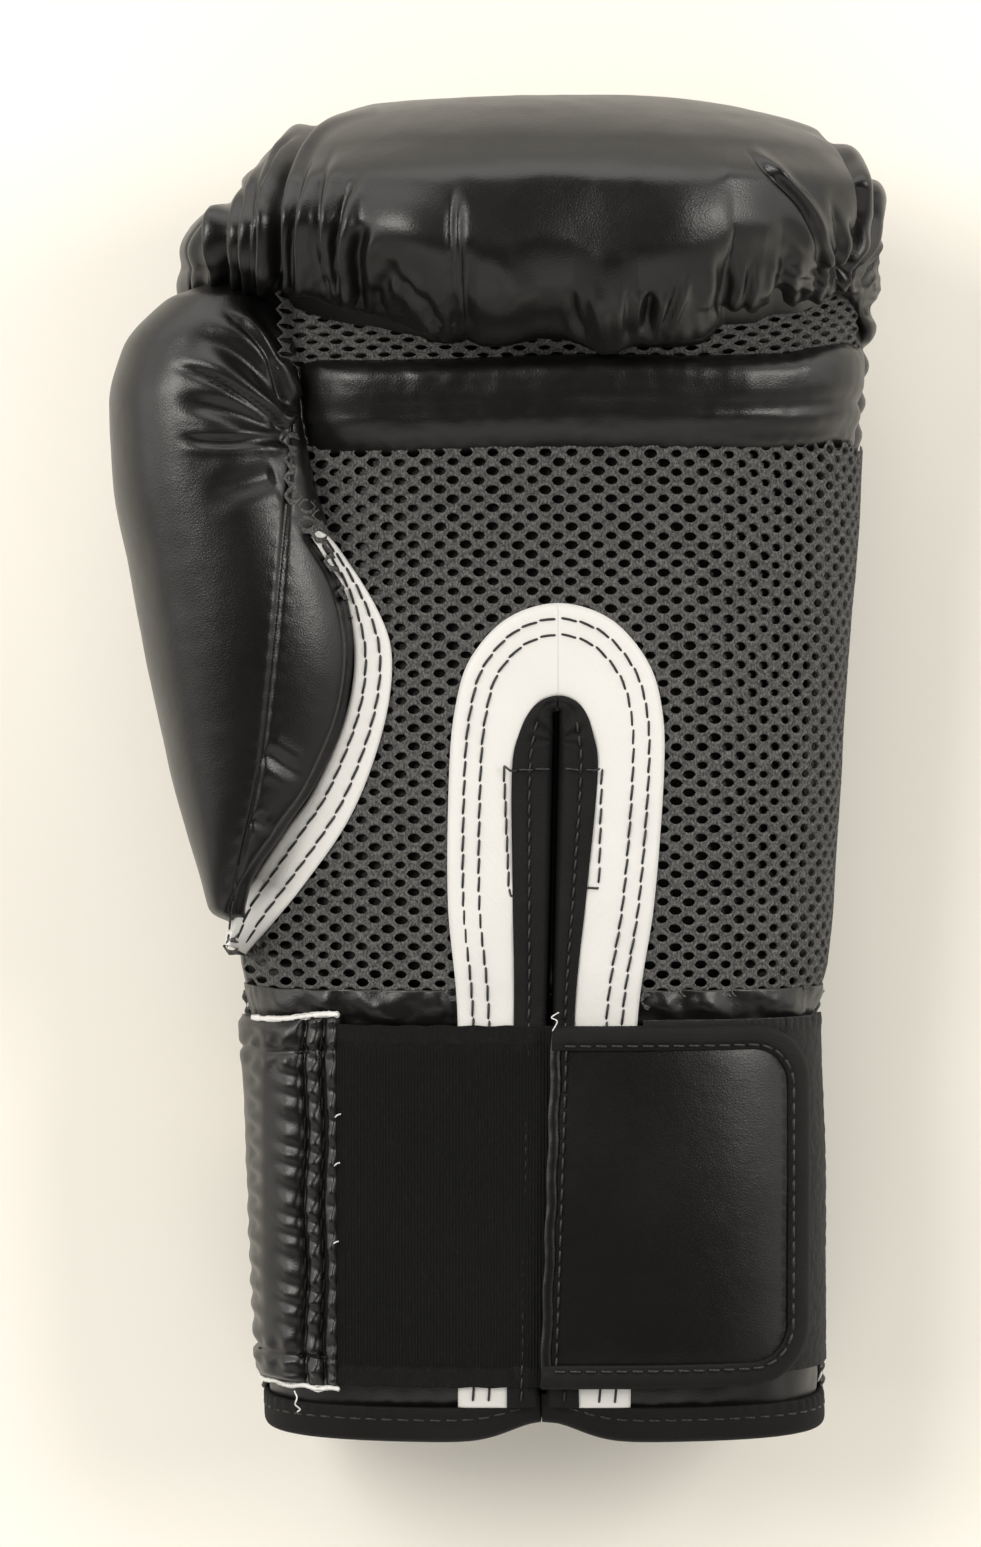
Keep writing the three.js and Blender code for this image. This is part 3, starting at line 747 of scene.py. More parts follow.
def stitch_row(line, pitch, length, radius, lean=0.12, sink=0.25):
    """Separate stitches along a line on a surface: each comes up, runs and goes down again."""
    line = np.asarray(line, float)
    at = np.concatenate([[0], np.cumsum(np.linalg.norm(np.diff(line, axis=0), axis=1))])
    parts = []
    count = int(at[-1] / pitch)
    for k in range(count):
        start = (k + 0.5) * at[-1] / count - length / 2
        s = start + length * np.array([0.0, 0.12, 0.5, 0.88, 1.0])
        p = np.stack([np.interp(s, at, line[:, c]) for c in range(3)], -1)
        run = p[-1] - p[0]
        side = np.array([run[1], -run[0], 0.0]) / max(np.hypot(run[0], run[1]), 1e-9)
        p += side * (lean * np.array([-1, -0.8, 0, 0.8, 1]))[:, None]
        p[:, 2] += radius * np.array([-1.2, 0.35, 0.6, 0.35, -1.2]) + sink * radius
        parts.append(tube(p, radius * np.array([0.7, 1, 1, 1, 0.7])))
    return parts


def on_palm(line, lift):
    """A line in plan laid on the palm side."""
    line = np.asarray(line, float)
    return np.column_stack([line[:, 0], line[:, 1], palm(line[:, 0], line[:, 1], lift)])


def sew(name, body, rows, thread=BLACK_THREAD, slot="black_binding", bend=None):
    """One piece from rows of stitches."""
    return dress(join(name, [part for row in rows for part in row]), body, slot, thread, bend=bend)


# ---- fist ---------------------------------------------------------------------------------------

PINCH = (-45.0, 248.0)  # the two ends of the hem, from which gathers fan out
CORNER = (75.5, 249.5)
TUCKS = 30  # small ones, evenly along the hem
LABEL = (25.5, 277, 4.9, 4.5)  # its middle and half its two sides
LIP = (239.0, 97.0)  # y and height of the curled end's edge before it follows the hem line

# The hem line of the curled end: how far it reaches down at each x.
HEM_X = (-72, -60, -45, -41.7, -33, -27, -23, -17.6, -14.3, -10.5, -7.2, -3.9, 1.6, 8.8, 15.4, 18.1,
         22, 25.3, 29.1, 32.4, 39.5, 44.5, 47.2, 48.3, 52.7, 56, 59.8, 66.4, 71.9, 76.3, 84)
HEM_LINE = (251, 250, 248.5, 248, 245.7, 244.9, 243.5, 241.9, 240.3, 239.4, 241.1, 238.9,
            238.9, 241.1, 240.5, 239.2, 236.9, 237.0, 239.2, 238.9, 239.2, 240.3, 243, 246,
            245.5, 245.8, 248, 248.2, 250.8, 251.2, 252)

# Folds in the fist's leather: the line each follows, its width, depth, kind and the shares of its
# length over which its two ends fade.
FIST_FOLDS = [
    # the laps at the left, drawn together where the thumb is caught
    ([(-26, 291.2), (-37.8, 287), (-43.3, 280.8), (-46, 275.3), (-47.7, 269.9), (-48.2, 263.8),
      (-47.9, 249)], 1.0, 3.0, "crease", (0.03, 0.02)),
    ([(-42.2, 284.7), (-46.6, 278.6), (-49.3, 272.6), (-50.9, 268.2), (-51.8, 261.6), (-52, 249)],
     0.8, 1.9, "pleat", (0.2, 0.02)),
    ([(-45, 284.5), (-49.5, 277), (-52, 271), (-53.3, 262), (-53.2, 249)], 0.7, 1.3, "pleat",
     (0.2, 0.02)),
    ([(-50.9, 278.1), (-53.7, 272.6), (-55.3, 267.1), (-55.9, 260.5), (-55.1, 249)],
     0.9, 1.8, "pleat", (0.2, 0.02)),
    ([(-55.4, 273.5), (-58.8, 268.2), (-59.7, 261.6), (-58.9, 249)], 1.0, 2.5, "crease",
     (0.1, 0.02)),
    ([(-57.5, 271), (-61.9, 265.5), (-62.4, 258.9), (-60.8, 249)], 0.9, 1.6, "pleat", (0.2, 0.02)),
    ([(-62, 267), (-66.3, 258.7), (-65.2, 248)], 0.9, 1.2, "pleat", (0.3, 0.02)),
    ([(-38.9, 279.7), (-41.6, 274.8), (-43.5, 267.1), (-44.4, 259.4), (-44.1, 248.5)],
     1.2, 2.0, "pleat", (0.5, 0.02)),
    ([(-34.5, 280.8), (-37.2, 274.8), (-38.3, 268.2), (-38.6, 261.6), (-37.8, 255.1), (-35.6, 247)],
     1.3, 2.1, "pleat", (0.5, 0.02)),
    ([(-29.6, 275.3), (-32.8, 268.2), (-34.2, 261.6), (-34.5, 256.2), (-33.4, 246.5)],
     1.5, 2.4, "pleat", (0.5, 0.02)),
    ([(-27, 264.5), (-29.4, 261), (-30.7, 255.1), (-29.6, 245)], 1.4, 2.2, "crease", (0.3, 0.1)),
    ([(-23.5, 257.5), (-22.6, 255), (-24.5, 251), (-26.5, 247)], 1.3, 1.2, "crease", (0.4, 0.2)),
    ([(-22.5, 254), (-19, 249.5), (-16.5, 245.5)], 1.0, 1.5, "crease", (0.4, 0.2)),
    ([(-28, 252), (-26, 247), (-25, 243.5)], 0.9, 1.3, "crease", (0.4, 0.05)),
    # the upright crease and the roll hanging beside it
    ([(-9.6, 272), (-9.8, 262), (-9.9, 250), (-8.4, 240)], 0.85, 2.0, "pleat", (0.25, 0.02)),
    ([(-15.5, 252), (-15.8, 247), (-12.4, 240)], 1.0, 1.4, "crease", (0.5, 0.02)),
    ([(-4, 256), (-1, 249), (0, 244)], 2.4, 0.7, "crease", (0.5, 0.3)),
    # puckers in the middle of the hem
    ([(15.8, 252), (16.2, 246), (18.4, 240)], 0.8, 1.3, "crease", (0.5, 0.02)),
    ([(19.5, 253), (21.5, 246.5), (23, 239)], 1.4, 0.9, "ridge", (0.5, 0.02)),
    ([(27.6, 252), (27.4, 246), (27.6, 239)], 0.9, 1.0, "crease", (0.5, 0.02)),
    ([(32.8, 249.5), (32.3, 245), (31.4, 240.5)], 1.2, 2.6, "crease", (0.2, 0.2)),
    ([(39.3, 254), (38.2, 248), (35, 240)], 0.9, 1.7, "pleat", (0.4, 0.02)),
    ([(46.4, 258), (48.6, 252), (47.6, 245)], 1.6, 1.4, "crease", (0.5, 0.02)),
    ([(54.4, 257), (54, 252), (52.9, 245)], 1.1, 1.3, "pleat", (0.5, 0.02)),
    ([(61.4, 260), (61.7, 254), (59.6, 247)], 1.4, 1.4, "crease", (0.5, 0.02)),
    # the long curved folds at the right and the gathers they run into
    ([(53, 280.5), (60.4, 273.1), (65.3, 267.7), (68.1, 262.2), (69.4, 256.7), (69, 251.8),
      (66.6, 247)], 1.0, 1.9, "pleat", (0.25, 0.02)),
    ([(71.2, 270), (73, 263), (72.4, 256), (69.4, 249)], 1.1, 1.3, "pleat", (0.5, 0.02)),
    ([(64, 285), (71.9, 281.6), (76.4, 275), (77.9, 269), (77.2, 262), (73.5, 254), (72, 250)],
     1.0, 1.9, "pleat", (0.25, 0.02)),
    ([(75.4, 266), (75.8, 260), (72.9, 252)], 0.8, 1.2, "crease", (0.4, 0.02)),
    ([(76.8, 279), (80.6, 271), (80.6, 263.5), (76.4, 255.5), (74.4, 250)], 0.9, 1.8, "pleat",
     (0.2, 0.02)),
    ([(82.6, 270), (82.2, 263), (78.6, 256), (75.4, 250.5)], 0.8, 1.6, "crease", (0.3, 0.02)),
    ([(83.4, 262), (81.6, 256), (77.4, 251)], 0.7, 1.3, "pleat", (0.3, 0.02)),
]


# Where the padding swells or dips: the knuckles on both sides of a flatter middle, then smaller
# ones. Each has its place, its two widths and its height.
SWELLS = ((-20, 263, 11, 9, 2.3), (46, 265, 17, 9, 2.2), (8, 262, 13, 11, -1.1),
          (24, 245, 7, 6, 0.9), (2, 247, 10, 6, 0.8))


def fist_relief(p, n):
    """How far the fist's leather stands off the smooth form: folds, gathers and dents."""
    p = seen(p)
    x, y, z = p[..., 0], p[..., 1], p[..., 2]
    facing = bump(n[..., 2], -0.25, 0.1) * bump(y, 236, 240)
    front = 1 - 0.8 * bump(y, 281, 290)
    h = folded(p, FIST_FOLDS) * facing * front
    # small tucks all along the hem
    for k in range(TUCKS):
        at = -30 + 3.4 * k + 0.9 * math.sin(3.7 * k)
        hem = float(np.interp(at, HEM_X, HEM_LINE))
        line = [(at + 0.8 * math.sin(k), hem + 7 + 3.0 * math.sin(2.3 * k + 1)), (at, hem - 2)]
        h += stroke(p, line, 0.9, 0.45, "crease", (0.8, 0.0)) * facing
    for cx, cy, wide, tall, size in SWELLS:
        h += size * bell(x - cx, wide) * bell(y - cy, tall) * facing
    swell = rough(p, 38.0, 5.0, 1) * 0.9 + rough(p, 13.0, 9.0) * 0.16
    h += swell * bump(y, 232, 250)
    # tight gathers fanning from the two ends of the hem
    for (cx, cy), spread, count, size in ((CORNER, 17.0, 19.0, 0.4), (PINCH, 15.0, 11.0, 0.25)):
        turn = np.arctan2(y - cy, (x - cx) * (1 if cx > 0 else -1) + z * 0.02)
        far = np.hypot(x - cx, y - cy)
        fan = np.sin(turn * count + 0.8 * np.sin(far * 0.25)) * bell(far - 5, spread)
        h += size * fan * bump(far, 1.0, 5.0) * bump(y, 240, 247)
    # a blank label, stitched down and pressed in
    sx, sy = (x - LABEL[0]) / LABEL[2], (y - LABEL[1]) / LABEL[3]
    edge = np.maximum(np.abs(sx), np.abs(sy))
    h += facing * (0.1 * bump(edge, 1.06, 0.94) - 0.16 * bell(edge - 1.06, 0.06))
    # full scallops down the right side, where the leather is eased on, lesser ones at the left
    side = bump(np.abs(n[..., 0]), 0.3, 0.8) * bump(y, 211, 222) * bump(y, 268, 256)
    side = side * bump(z, 96, 84)
    ripple = np.abs(np.sin(np.pi * (y - 208) / (6.2 + 0.035 * (y - 208)) + 0.01 * (z - 50)))
    h += side * (ripple - 0.55) * np.where(x > 0, 2.3, 1.2) * bump(z, 22, 40)
    h += rough(p, 22.0, 2.0) * 0.35 * bump(y, 250, 200)
    return np.maximum(h, -2.6 + 0.25 * h)


def hang(p):
    """Shifts the curled end's lower edge to the hem line, lower in some places than others."""
    true = (EYE[2] - LIP[1]) / (EYE[2] - SEEN_AT)
    hem = np.interp(p[..., 0] / true, HEM_X, HEM_LINE)
    hem = EYE[1] + (hem - EYE[1]) * true - LIP[0]
    lip = bump(p[..., 1], 235.5, 238.6) * bump(p[..., 2], 55, 72) * bump(p[..., 1], 278, 247)
    p[..., 1] += lip * (hem - 2.2 * bell(p[..., 2] - LIP[1], 5))
    return p


def soften(h):
    """Evens out height differences between neighbours, round the glove and along it."""
    h = (np.roll(h, 1, 1) + 2 * h + np.roll(h, -1, 1)) / 4
    h[1:-1] = (h[:-2] + 2 * h[1:-1] + h[2:]) / 4
    return h


def dome(points, faces, row_start, columns, rise):
    """Closes the far end of a tube with rings that shrink to its middle."""
    rim = points[row_start:row_start + columns]
    middle = rim.mean(0)
    rings = [points]
    start = row_start
    count = len(points)
    for share in (0.8, 0.6, 0.4, 0.2):
        ring = middle + (rim - middle) * share
        ring[:, 1] += rise * (1 - share**2)
        rings.append(ring)
        a, b = np.arange(columns), np.roll(np.arange(columns), -1)
        faces += np.stack([a + start, b + start, b + count, a + count], -1).tolist()
        start = count
        count += columns
    close_end(faces, start, columns)
    return np.concatenate(rings)


def build_fist():
    """The fist's leather, with the back of the hand: one closed shell."""
    columns = 544
    y = np.concatenate([np.arange(97.2, 205, 6.0), np.arange(205, 232, 1.2),
                        np.arange(232, 246, 0.4), np.arange(246, 283, 0.7),
                        283 + 8.1 * np.sin(np.linspace(0, np.pi / 2, 36))])
    # the palm side gets most of the columns
    share = np.linspace(0, 1, columns, endpoint=False)
    angle = np.interp(share, [0, 0.84, 1], [-0.15, np.pi + 0.15, 2 * np.pi - 0.15])
    flat = surface(BODY, y[:, None], angle[None, :])
    outer = hang(flat.copy())
    n = normals(outer, True)
    # under the palm's other panels the leather gives way to a lower bed
    bed = (bump(angle, -0.02, 0.05) * bump(angle, np.pi - 0.2, np.pi - 0.3))[None, :]
    bed = bed * bump(flat[..., 1], 239.7, 238.8)
    gap = bell(flat[..., 0] - slit_x(flat[..., 1]), 1.6) * bump(flat[..., 1], 160, 156)
    relief = soften(fist_relief(outer, n))
    outer = outer + n * (relief * (1 - bed) - (2.3 + 1.6 * gap) * bed)[..., None]
    outer[..., 2] = np.maximum(outer[..., 2], np.where(outer[..., 1] < 270, 0.0, -9))
    low_y = np.array([97.2, 140, 180, 210, 235, 238.6, 243, 262, 277, 287])
    inner = surface(BODY, low_y[:, None], angle[None, :], 5.0)
    inner[..., 2] = np.maximum(inner[..., 2], 2.0)
    inner[..., 1] -= 3.0 * bump(low_y, 200, 287)[:, None]
    inner = hang(inner)
    faces = grid_faces(len(y), columns, True).tolist()
    start = len(y) * columns
    faces += grid_faces(len(low_y), columns, True, start, True).tolist()
    rim = np.arange(columns)
    faces += np.stack([rim, rim + start, np.roll(rim, -1) + start, np.roll(rim, -1)], -1).tolist()
    close_end(faces, start + (len(low_y) - 1) * columns, columns)
    points = np.concatenate([outer.reshape(-1, 3), inner.reshape(-1, 3)])
    points = dome(points, faces, (len(y) - 1) * columns, columns, 0.35)
    fist = make("fist", points, faces)
    dress(fist, "glove", "black_leather", replaces=("fist_shell", "back_panel"))


def build_hand_padding():
    """The foam between the fist's leather and the lining of the hand."""
    y = np.concatenate([np.linspace(97.4, 234, 30), np.linspace(236, 283, 40)])
    angle = turns(120)
    pad_out = surface(BODY, y[:, None], angle, 7.4)
    pad_out[..., 2] = np.maximum(pad_out[..., 2], 2.6)
    pad_out[..., 1] += 2.0 * bump(pad_out[..., 2], 84, 92)
    deep = np.interp(y, [97.4, 283], [97.4, 265.6])
    pad_in = surface(HAND, deep[:, None], angle, -1.4)
    padding = slab("hand_padding", hang(pad_out), pad_in, True)
    dress(padding, "glove", "foam", replaces=(
        "back_foam", "side_foam_left", "side_foam_right", "palm_foam", "finger_foam",
        "knuckle_foam"))


def build_pocket():
    """The lining of the hand, closed at the fingertips."""
    columns = 140
    end = 26 * np.sin(np.linspace(0.05, 1.57, 24))
    y = np.concatenate([np.linspace(98.2, 240, 50), 240 + end])
    skin = surface(HAND, y[:, None], turns(columns), -1.0)
    skin = skin - normals(skin, True) * (0.5 + rough(skin, 14.0, 3.0) * 0.8)[..., None]
    faces = grid_faces(len(y), columns, True, flip=True).tolist()
    close_end(faces, (len(y) - 1) * columns, columns)
    lining = make("hand_pocket", skin.reshape(-1, 3), faces)
    dress(lining, "glove", "lining", replaces=("hand_lining",))


# ---- palm ---------------------------------------------------------------------------------------

# the two edges of the white crescent at the thumb
STRIP_OUTER = spline([(-58.2, 102.6), (-54.6, 106.6), (-42.8, 120.4), (-31.6, 136.5),
                      (-24.7, 154.8), (-22.8, 170), (-26, 180.6), (-34.2, 193.5), (-38.6, 197.6)])
STRIP_INNER = spline([(-58.4, 104.6), (-57.4, 111), (-55.4, 119), (-46, 133), (-39.6, 142),
                      (-32.8, 157.5), (-30.8, 171), (-33.1, 184), (-37.5, 192), (-39.4, 195)])
SPLIT_X = 12.6  # the palm's left and right halves meet on this line


def half(side, *points):
    """One side of an outline, from the hem up to the middle; the last point lies beyond it."""
    line = spline(points, 900)
    near = line[(line[:, 0] - SPLIT_X) * side > 0]
    return resample(np.vstack([near, [(SPLIT_X, near[-1, 1])]]), 420)


# The U-shaped patch round the slit: its outer edge, and the window that its binding edges.
PATCH_OUTER = {
    -1: half(-1, (-8.8, 8.6), (-8.8, 60), (-8.9, 94), (-10.9, 118), (-10.6, 146), (-9.2, 160),
             (-6, 170), (1.8, 178.4), (12.6, 181.6), (23.4, 178.4)),
    1: half(1, (28.4, 8.6), (28.8, 60), (29.9, 94), (33.2, 118), (35.2, 146), (34.6, 160),
            (31.2, 170), (23.4, 178.4), (12.6, 181.6), (1.8, 178.4)),
}
WINDOW = {
    -1: half(-1, (2.4, 8.6), (3.0, 60), (3.9, 94), (3.6, 120), (3.4, 145), (4.9, 153.5),
             (8, 159.3), (12.6, 161.3), (17, 159.3)),
    1: half(1, (16.6, 8.6), (15.6, 60), (15.6, 94), (18, 120), (20.3, 145), (19.4, 153.5),
            (17, 159.3), (12.6, 161.3), (8, 159.3)),
}
# the box stitched across the bindings, down one side, with its small foot
BOX = {-1: [(1.0, 147.2), (2.2, 119.4), (4.4, 119.0)],
       1: [(21.9, 146.8), (21.3, 121.0), (17.6, 121.0)]}
MESH_EDGE = 0.02  # the angle round the body at which the palm's mesh meets the side leather


def knit(x0, x1, y0, y1, inside, pitch=(5.6, 1.95), hole=(1.36, 0.84), depth=1.0):
    """Spacer mesh in plan: staggered cells, each with an oval hole and a rounded rim."""
    corners = np.array([(2.08, 0), (0.72, 1.95), (-0.72, 1.95)])
    corners = np.concatenate([corners, -corners]) * (np.array(pitch) / (5.6, 1.95))
    rim = np.stack([corners, (corners + np.roll(corners, -1, 0)) / 2], 1).reshape(-1, 2)
    around_it = len(rim)
    angle = np.arctan2(rim[:, 1] / hole[1], rim[:, 0] / hole[0])
    oval = np.stack([hole[0] * np.cos(angle), hole[1] * np.sin(angle)], -1)
    # from the rim to the hole and down into it: the way there, growth and height
    rings = ((0.0, 1.0, 0.0), (0.42, 1.0, 0.32), (0.8, 1.0, 0.26), (1.0, 1.0, -0.12),
             (1.0, 1.12, -depth))
    points, faces = [], []
    for i in range(int((y1 - y0) / pitch[1]) + 1):
        for j in range(int((x1 - x0) / pitch[0]) + 2):
            centre = np.array([x0 + (j + 0.5 * (i % 2)) * pitch[0], y0 + i * pitch[1]])
            if not inside(*centre):
                continue
            size = 1 + 0.1 * math.sin(12.9898 * i + 78.233 * j)
            faces += grid_faces(len(rings), around_it, True, len(points)).tolist()
            for share, grow, height in rings:
                ring = rim * (1 - share) + oval * share * grow * (size if share == 1 else 1)
                points += [(px, py, height) for px, py in ring + centre]
    return np.array(points), faces


def lay_mesh(name, points, faces, lift):
    """Lays knitted cells on the palm, a little uneven."""
    flat = points * [1, 1, 0]
    x = points[:, 0] + 0.22 * rough(flat, 9.0, 1.0)
    y = points[:, 1] + 0.22 * rough(flat, 9.0, 8.0)
    fuzz, soft = rough(flat, 0.9, 4.0, 1), rough(flat, 26.0, 6.0)
    laid = around(x, np.minimum(y, 237.5), lift + points[:, 2] + 0.08 * fuzz + 0.35 * soft)
    laid[:, 1] = y
    piece = make(name, laid, faces)
    tidy(piece.data, 0.0001)
    return piece


def even(values):
    """A running mean along a line."""
    reach = 12
    padded = np.pad(values, reach, mode="edge")
    return np.convolve(padded, np.full(2 * reach + 1, 1 / (2 * reach + 1)), "valid")


def mesh_left(y):
    """Where the palm's mesh ends at the left, under the crescent."""
    if y > 197:
        return np.interp(y, [197, 216], [-43, -45.5])
    return max(np.interp(y, STRIP_OUTER[:, 1], STRIP_OUTER[:, 0] - 4.5),
               np.interp(y, [96, 108], [-52, -58]))


def build_palm_mesh():
    """The palm's mesh in two halves, and the narrow strip of it below the fingers' hem."""
    rows = np.arange(90.0, 250.0)
    right_edge = side_x(rows, MESH_EDGE)
    for side, name in SIDES:
        def inside(x, y, side=side):
            if (x - SPLIT_X) * side < 0 or x > np.interp(y, rows, right_edge):
                return False
            in_slit = y < 157 and abs(x - slit_x(y)) < 4.5
            return not in_slit and x > mesh_left(y)

        points, faces = knit(SPLIT_X - 25 * 2.8, 110, 96.5, 217, inside)
        piece = lay_mesh(f"palm_mesh_{name}", points, faces, -0.1)
        body, bend = palm_bend(side)
        nodes = ("palm_mesh_panel",) if side < 0 else ()
        dress(piece, body, "air_mesh", replaces=nodes, bend=bend)

    strip_end = side_x(rows, 0.4)
    points, faces = knit(-45, 110, 231, 248, lambda x, y: -46 < x < np.interp(y, rows, strip_end),
                         pitch=(5.2, 1.5), hole=(1.5, 0.45), depth=0.8)
    points[:, 1] += np.interp(points[:, 0], [-46, 40, 62, 84, 110], [0, 0, 2.5, 6.5, 8])
    climb = 0.5 * np.clip(points[:, 1] - 239, 0, 6) * bump(points[:, 0], 58, 40)
    lift = 0.2 + 0.5 * bump(points[:, 0], 70, 50) + climb
    strip = lay_mesh("finger_mesh", points, faces, lift)
    dress(strip, "glove", "air_mesh", replaces=("finger_mesh_strip",))


def build_crescent():
    """The white crescent along the thumb's mound and its two rows of stitches."""
    right, left = STRIP_OUTER[8:], STRIP_INNER[8:]
    plan = between(right, left, 14)
    t = np.linspace(0, 1, 14)[None, :]
    outer_z = even(palm(np.maximum(right[:, 0], -54.0), np.maximum(right[:, 1], 106.0)))
    inner_z = even(palm(left[:, 0] + 1.5, np.maximum(left[:, 1], 112.0)))
    z = outer_z[:, None] * (1 - t) + inner_z[:, None] * t + 0.95 + 0.5 * (1 - (2 * t - 1) ** 6)
    z -= 0.22 * (bell(t - 0.3, 0.09) + bell(t - 0.72, 0.09))
    z += 0.06 * rough(level(plan), 1.6, 3.0, 1)
    piece = laid_sheet("thumb_crescent", plan, z, 1.1)
    dress(piece, "glove", "white_leather", replaces=("thumb_strip",))
    grid = np.dstack([plan, z + 0.1])
    rows = [stitch_row(grid[4:-5, column], 3.9, 3.6, 0.27) for column in (4, 9)]
    sew("crescent_stitches", "glove", rows)


def build_patch(side, name):
    """One leg of the white patch, with half its arch, and the stitches on it."""
    outer = PATCH_OUTER[side]
    plan = between(outer, WINDOW[side], 16)
    t = np.linspace(0, 1, 16)[None, :]
    z = palm(plan[..., 0], plan[..., 1], 0.85) + 0.35 * (1 - np.abs(2 * t - 1) ** 8)
    z += 0.05 * rough(level(plan), 1.3, 7.0, 1) + 0.25 * rough(level(plan), 18.0, 2.0)
    piece = laid_sheet(f"palm_patch_{name}", plan, z, 1.0)
    body, bend = palm_bend(side)
    nodes = (f"palm_patch_{name}_leg",) + (("palm_patch",) if side < 0 else ())
    dress(piece, body, "white_leather", bend=bend, replaces=nodes)

    rows = []
    for inset in (3.3, 6.7):
        line = offset(outer, inset * side)
        keep = (line[:, 1] > 9.5) & ((line[:, 0] - SPLIT_X) * side > 0.1)
        rows.append(stitch_row(on_palm(line[keep], 1.15), 3.9, 3.7, 0.27))
    rows.append(stitch_row(on_palm(resample(BOX[side], 60), 1.15), 3.7, 3.6, 0.25))
    x_out = BOX[side][0][0]
    across = [(slit_x(147) + 1.2 * side, 146.4), (x_out - 1.2 * side, 146.0), (x_out, 147.0)]
    rows.append(stitch_row(on_palm(resample(across, 40), 2.75), 3.4, 3.2, 0.25))
    sew(f"patch_stitches_{name}", body, rows, bend=bend)


def build_slit_edge(side, name):
    """Bias binding on one edge of the slit, rolling down into it, and its seam."""
    rim = offset(WINDOW[side], -0.7 * side)
    keep_y = np.clip(rim[:, 1], 9, 158.6)
    inner = np.column_stack([slit_x(keep_y) + 0.28 * side, keep_y])
    plan = between(rim, inner, 18)
    t = np.linspace(0, 1, 18)[None, :]
    roll = 1.35 * (1 - np.abs(2 * t - 0.9) ** 4.0) - 3.2 * np.clip(t - 0.86, 0, 1) / 0.14
    valley = 0.35 * bell(t - 0.42, 0.05)
    # it puckers where it turns round the top of the slit
    tight = bump(plan[..., 1], 149.5, 154) * bump(t, 0.12, 0.4)
    turn = np.arctan2(plan[..., 0] - SPLIT_X, plan[..., 1] - 152.5)
    wrinkle = 0.22 * rough(level(plan), 6.0, 4.0) * (1 + 2 * bump(plan[..., 1], 148, 158))
    wrinkle += 0.42 * np.sin(turn * 9.0 + 0.6) * tight
    z = palm(plan[..., 0], plan[..., 1], 1.0) + roll - valley + wrinkle
    piece = laid_sheet(f"slit_edge_{name}", plan, z, 0.9)
    body, bend = palm_bend(side)
    nodes = (f"slit_binding_{name}",) + (("slit_binding_top",) if side < 0 else ())
    dress(piece, body, "black_binding", bend=bend, replaces=nodes)
    seam = between(rim, inner, 101)[:, 42]
    seam = seam[(seam[:, 1] > 10) & (seam[:, 1] < 157)]
    rows = [stitch_row(on_palm(seam, 2.15), 2.9, 2.4, 0.26)]
    sew(f"slit_stitches_{name}", body, rows, bend=bend)


# ---- thumb --------------------------------------------------------------------------------------

THUMB_SEAM = spline([(-59, 104), (-55.7, 124.7), (-51.8, 144), (-49.2, 165.5), (-46.7, 191),
                     (-44.3, 216), (-43.6, 228)])
THUMB_BEND = ((-34, 165), (-58, 168))
THUMB_FOLDS = [
    (THUMB_SEAM[::8], 0.6, -0.75, "ridge", (0.02, 0.05)),
    # folds that gather towards the top of the seam
    ([(-70, 217.5), (-60, 216.8), (-52, 217.2), (-45, 217)], 0.9, 1.0, "crease", (0.3, 0.05)),
    ([(-71, 226), (-60, 224), (-50, 220.5), (-45, 218)], 1.8, 1.2, "crease", (0.4, 0.05)),
    ([(-72, 234), (-62, 231), (-52, 225), (-45, 219.5)], 1.7, 1.3, "pleat", (0.4, 0.05)),
    ([(-68, 241), (-58, 237), (-50, 230), (-45, 222)], 1.8, 1.2, "crease", (0.4, 0.05)),
    ([(-60, 246), (-53, 240), (-48.5, 233), (-45.2, 225)], 1.6, 1.2, "pleat", (0.4, 0.05)),
    ([(-54, 248), (-49.5, 241), (-46.5, 234)], 1.5, 1.0, "crease", (0.4, 0.1)),
    ([(-64, 205), (-56, 207.5), (-48, 210)], 2.4, 0.8, "crease", (0.5, 0.1)),
    # shallow ones on the inner panel
    ([(-41, 222), (-38, 212), (-36, 203)], 2.2, 0.9, "crease", (0.4, 0.4)),
    ([(-50.5, 150), (-44, 146), (-40, 146)], 1.5, 0.7, "crease", (0.1, 0.5)),
    ([(-53, 136), (-49, 134), (-47, 135)], 1.2, 0.6, "crease", (0.1, 0.5)),
]


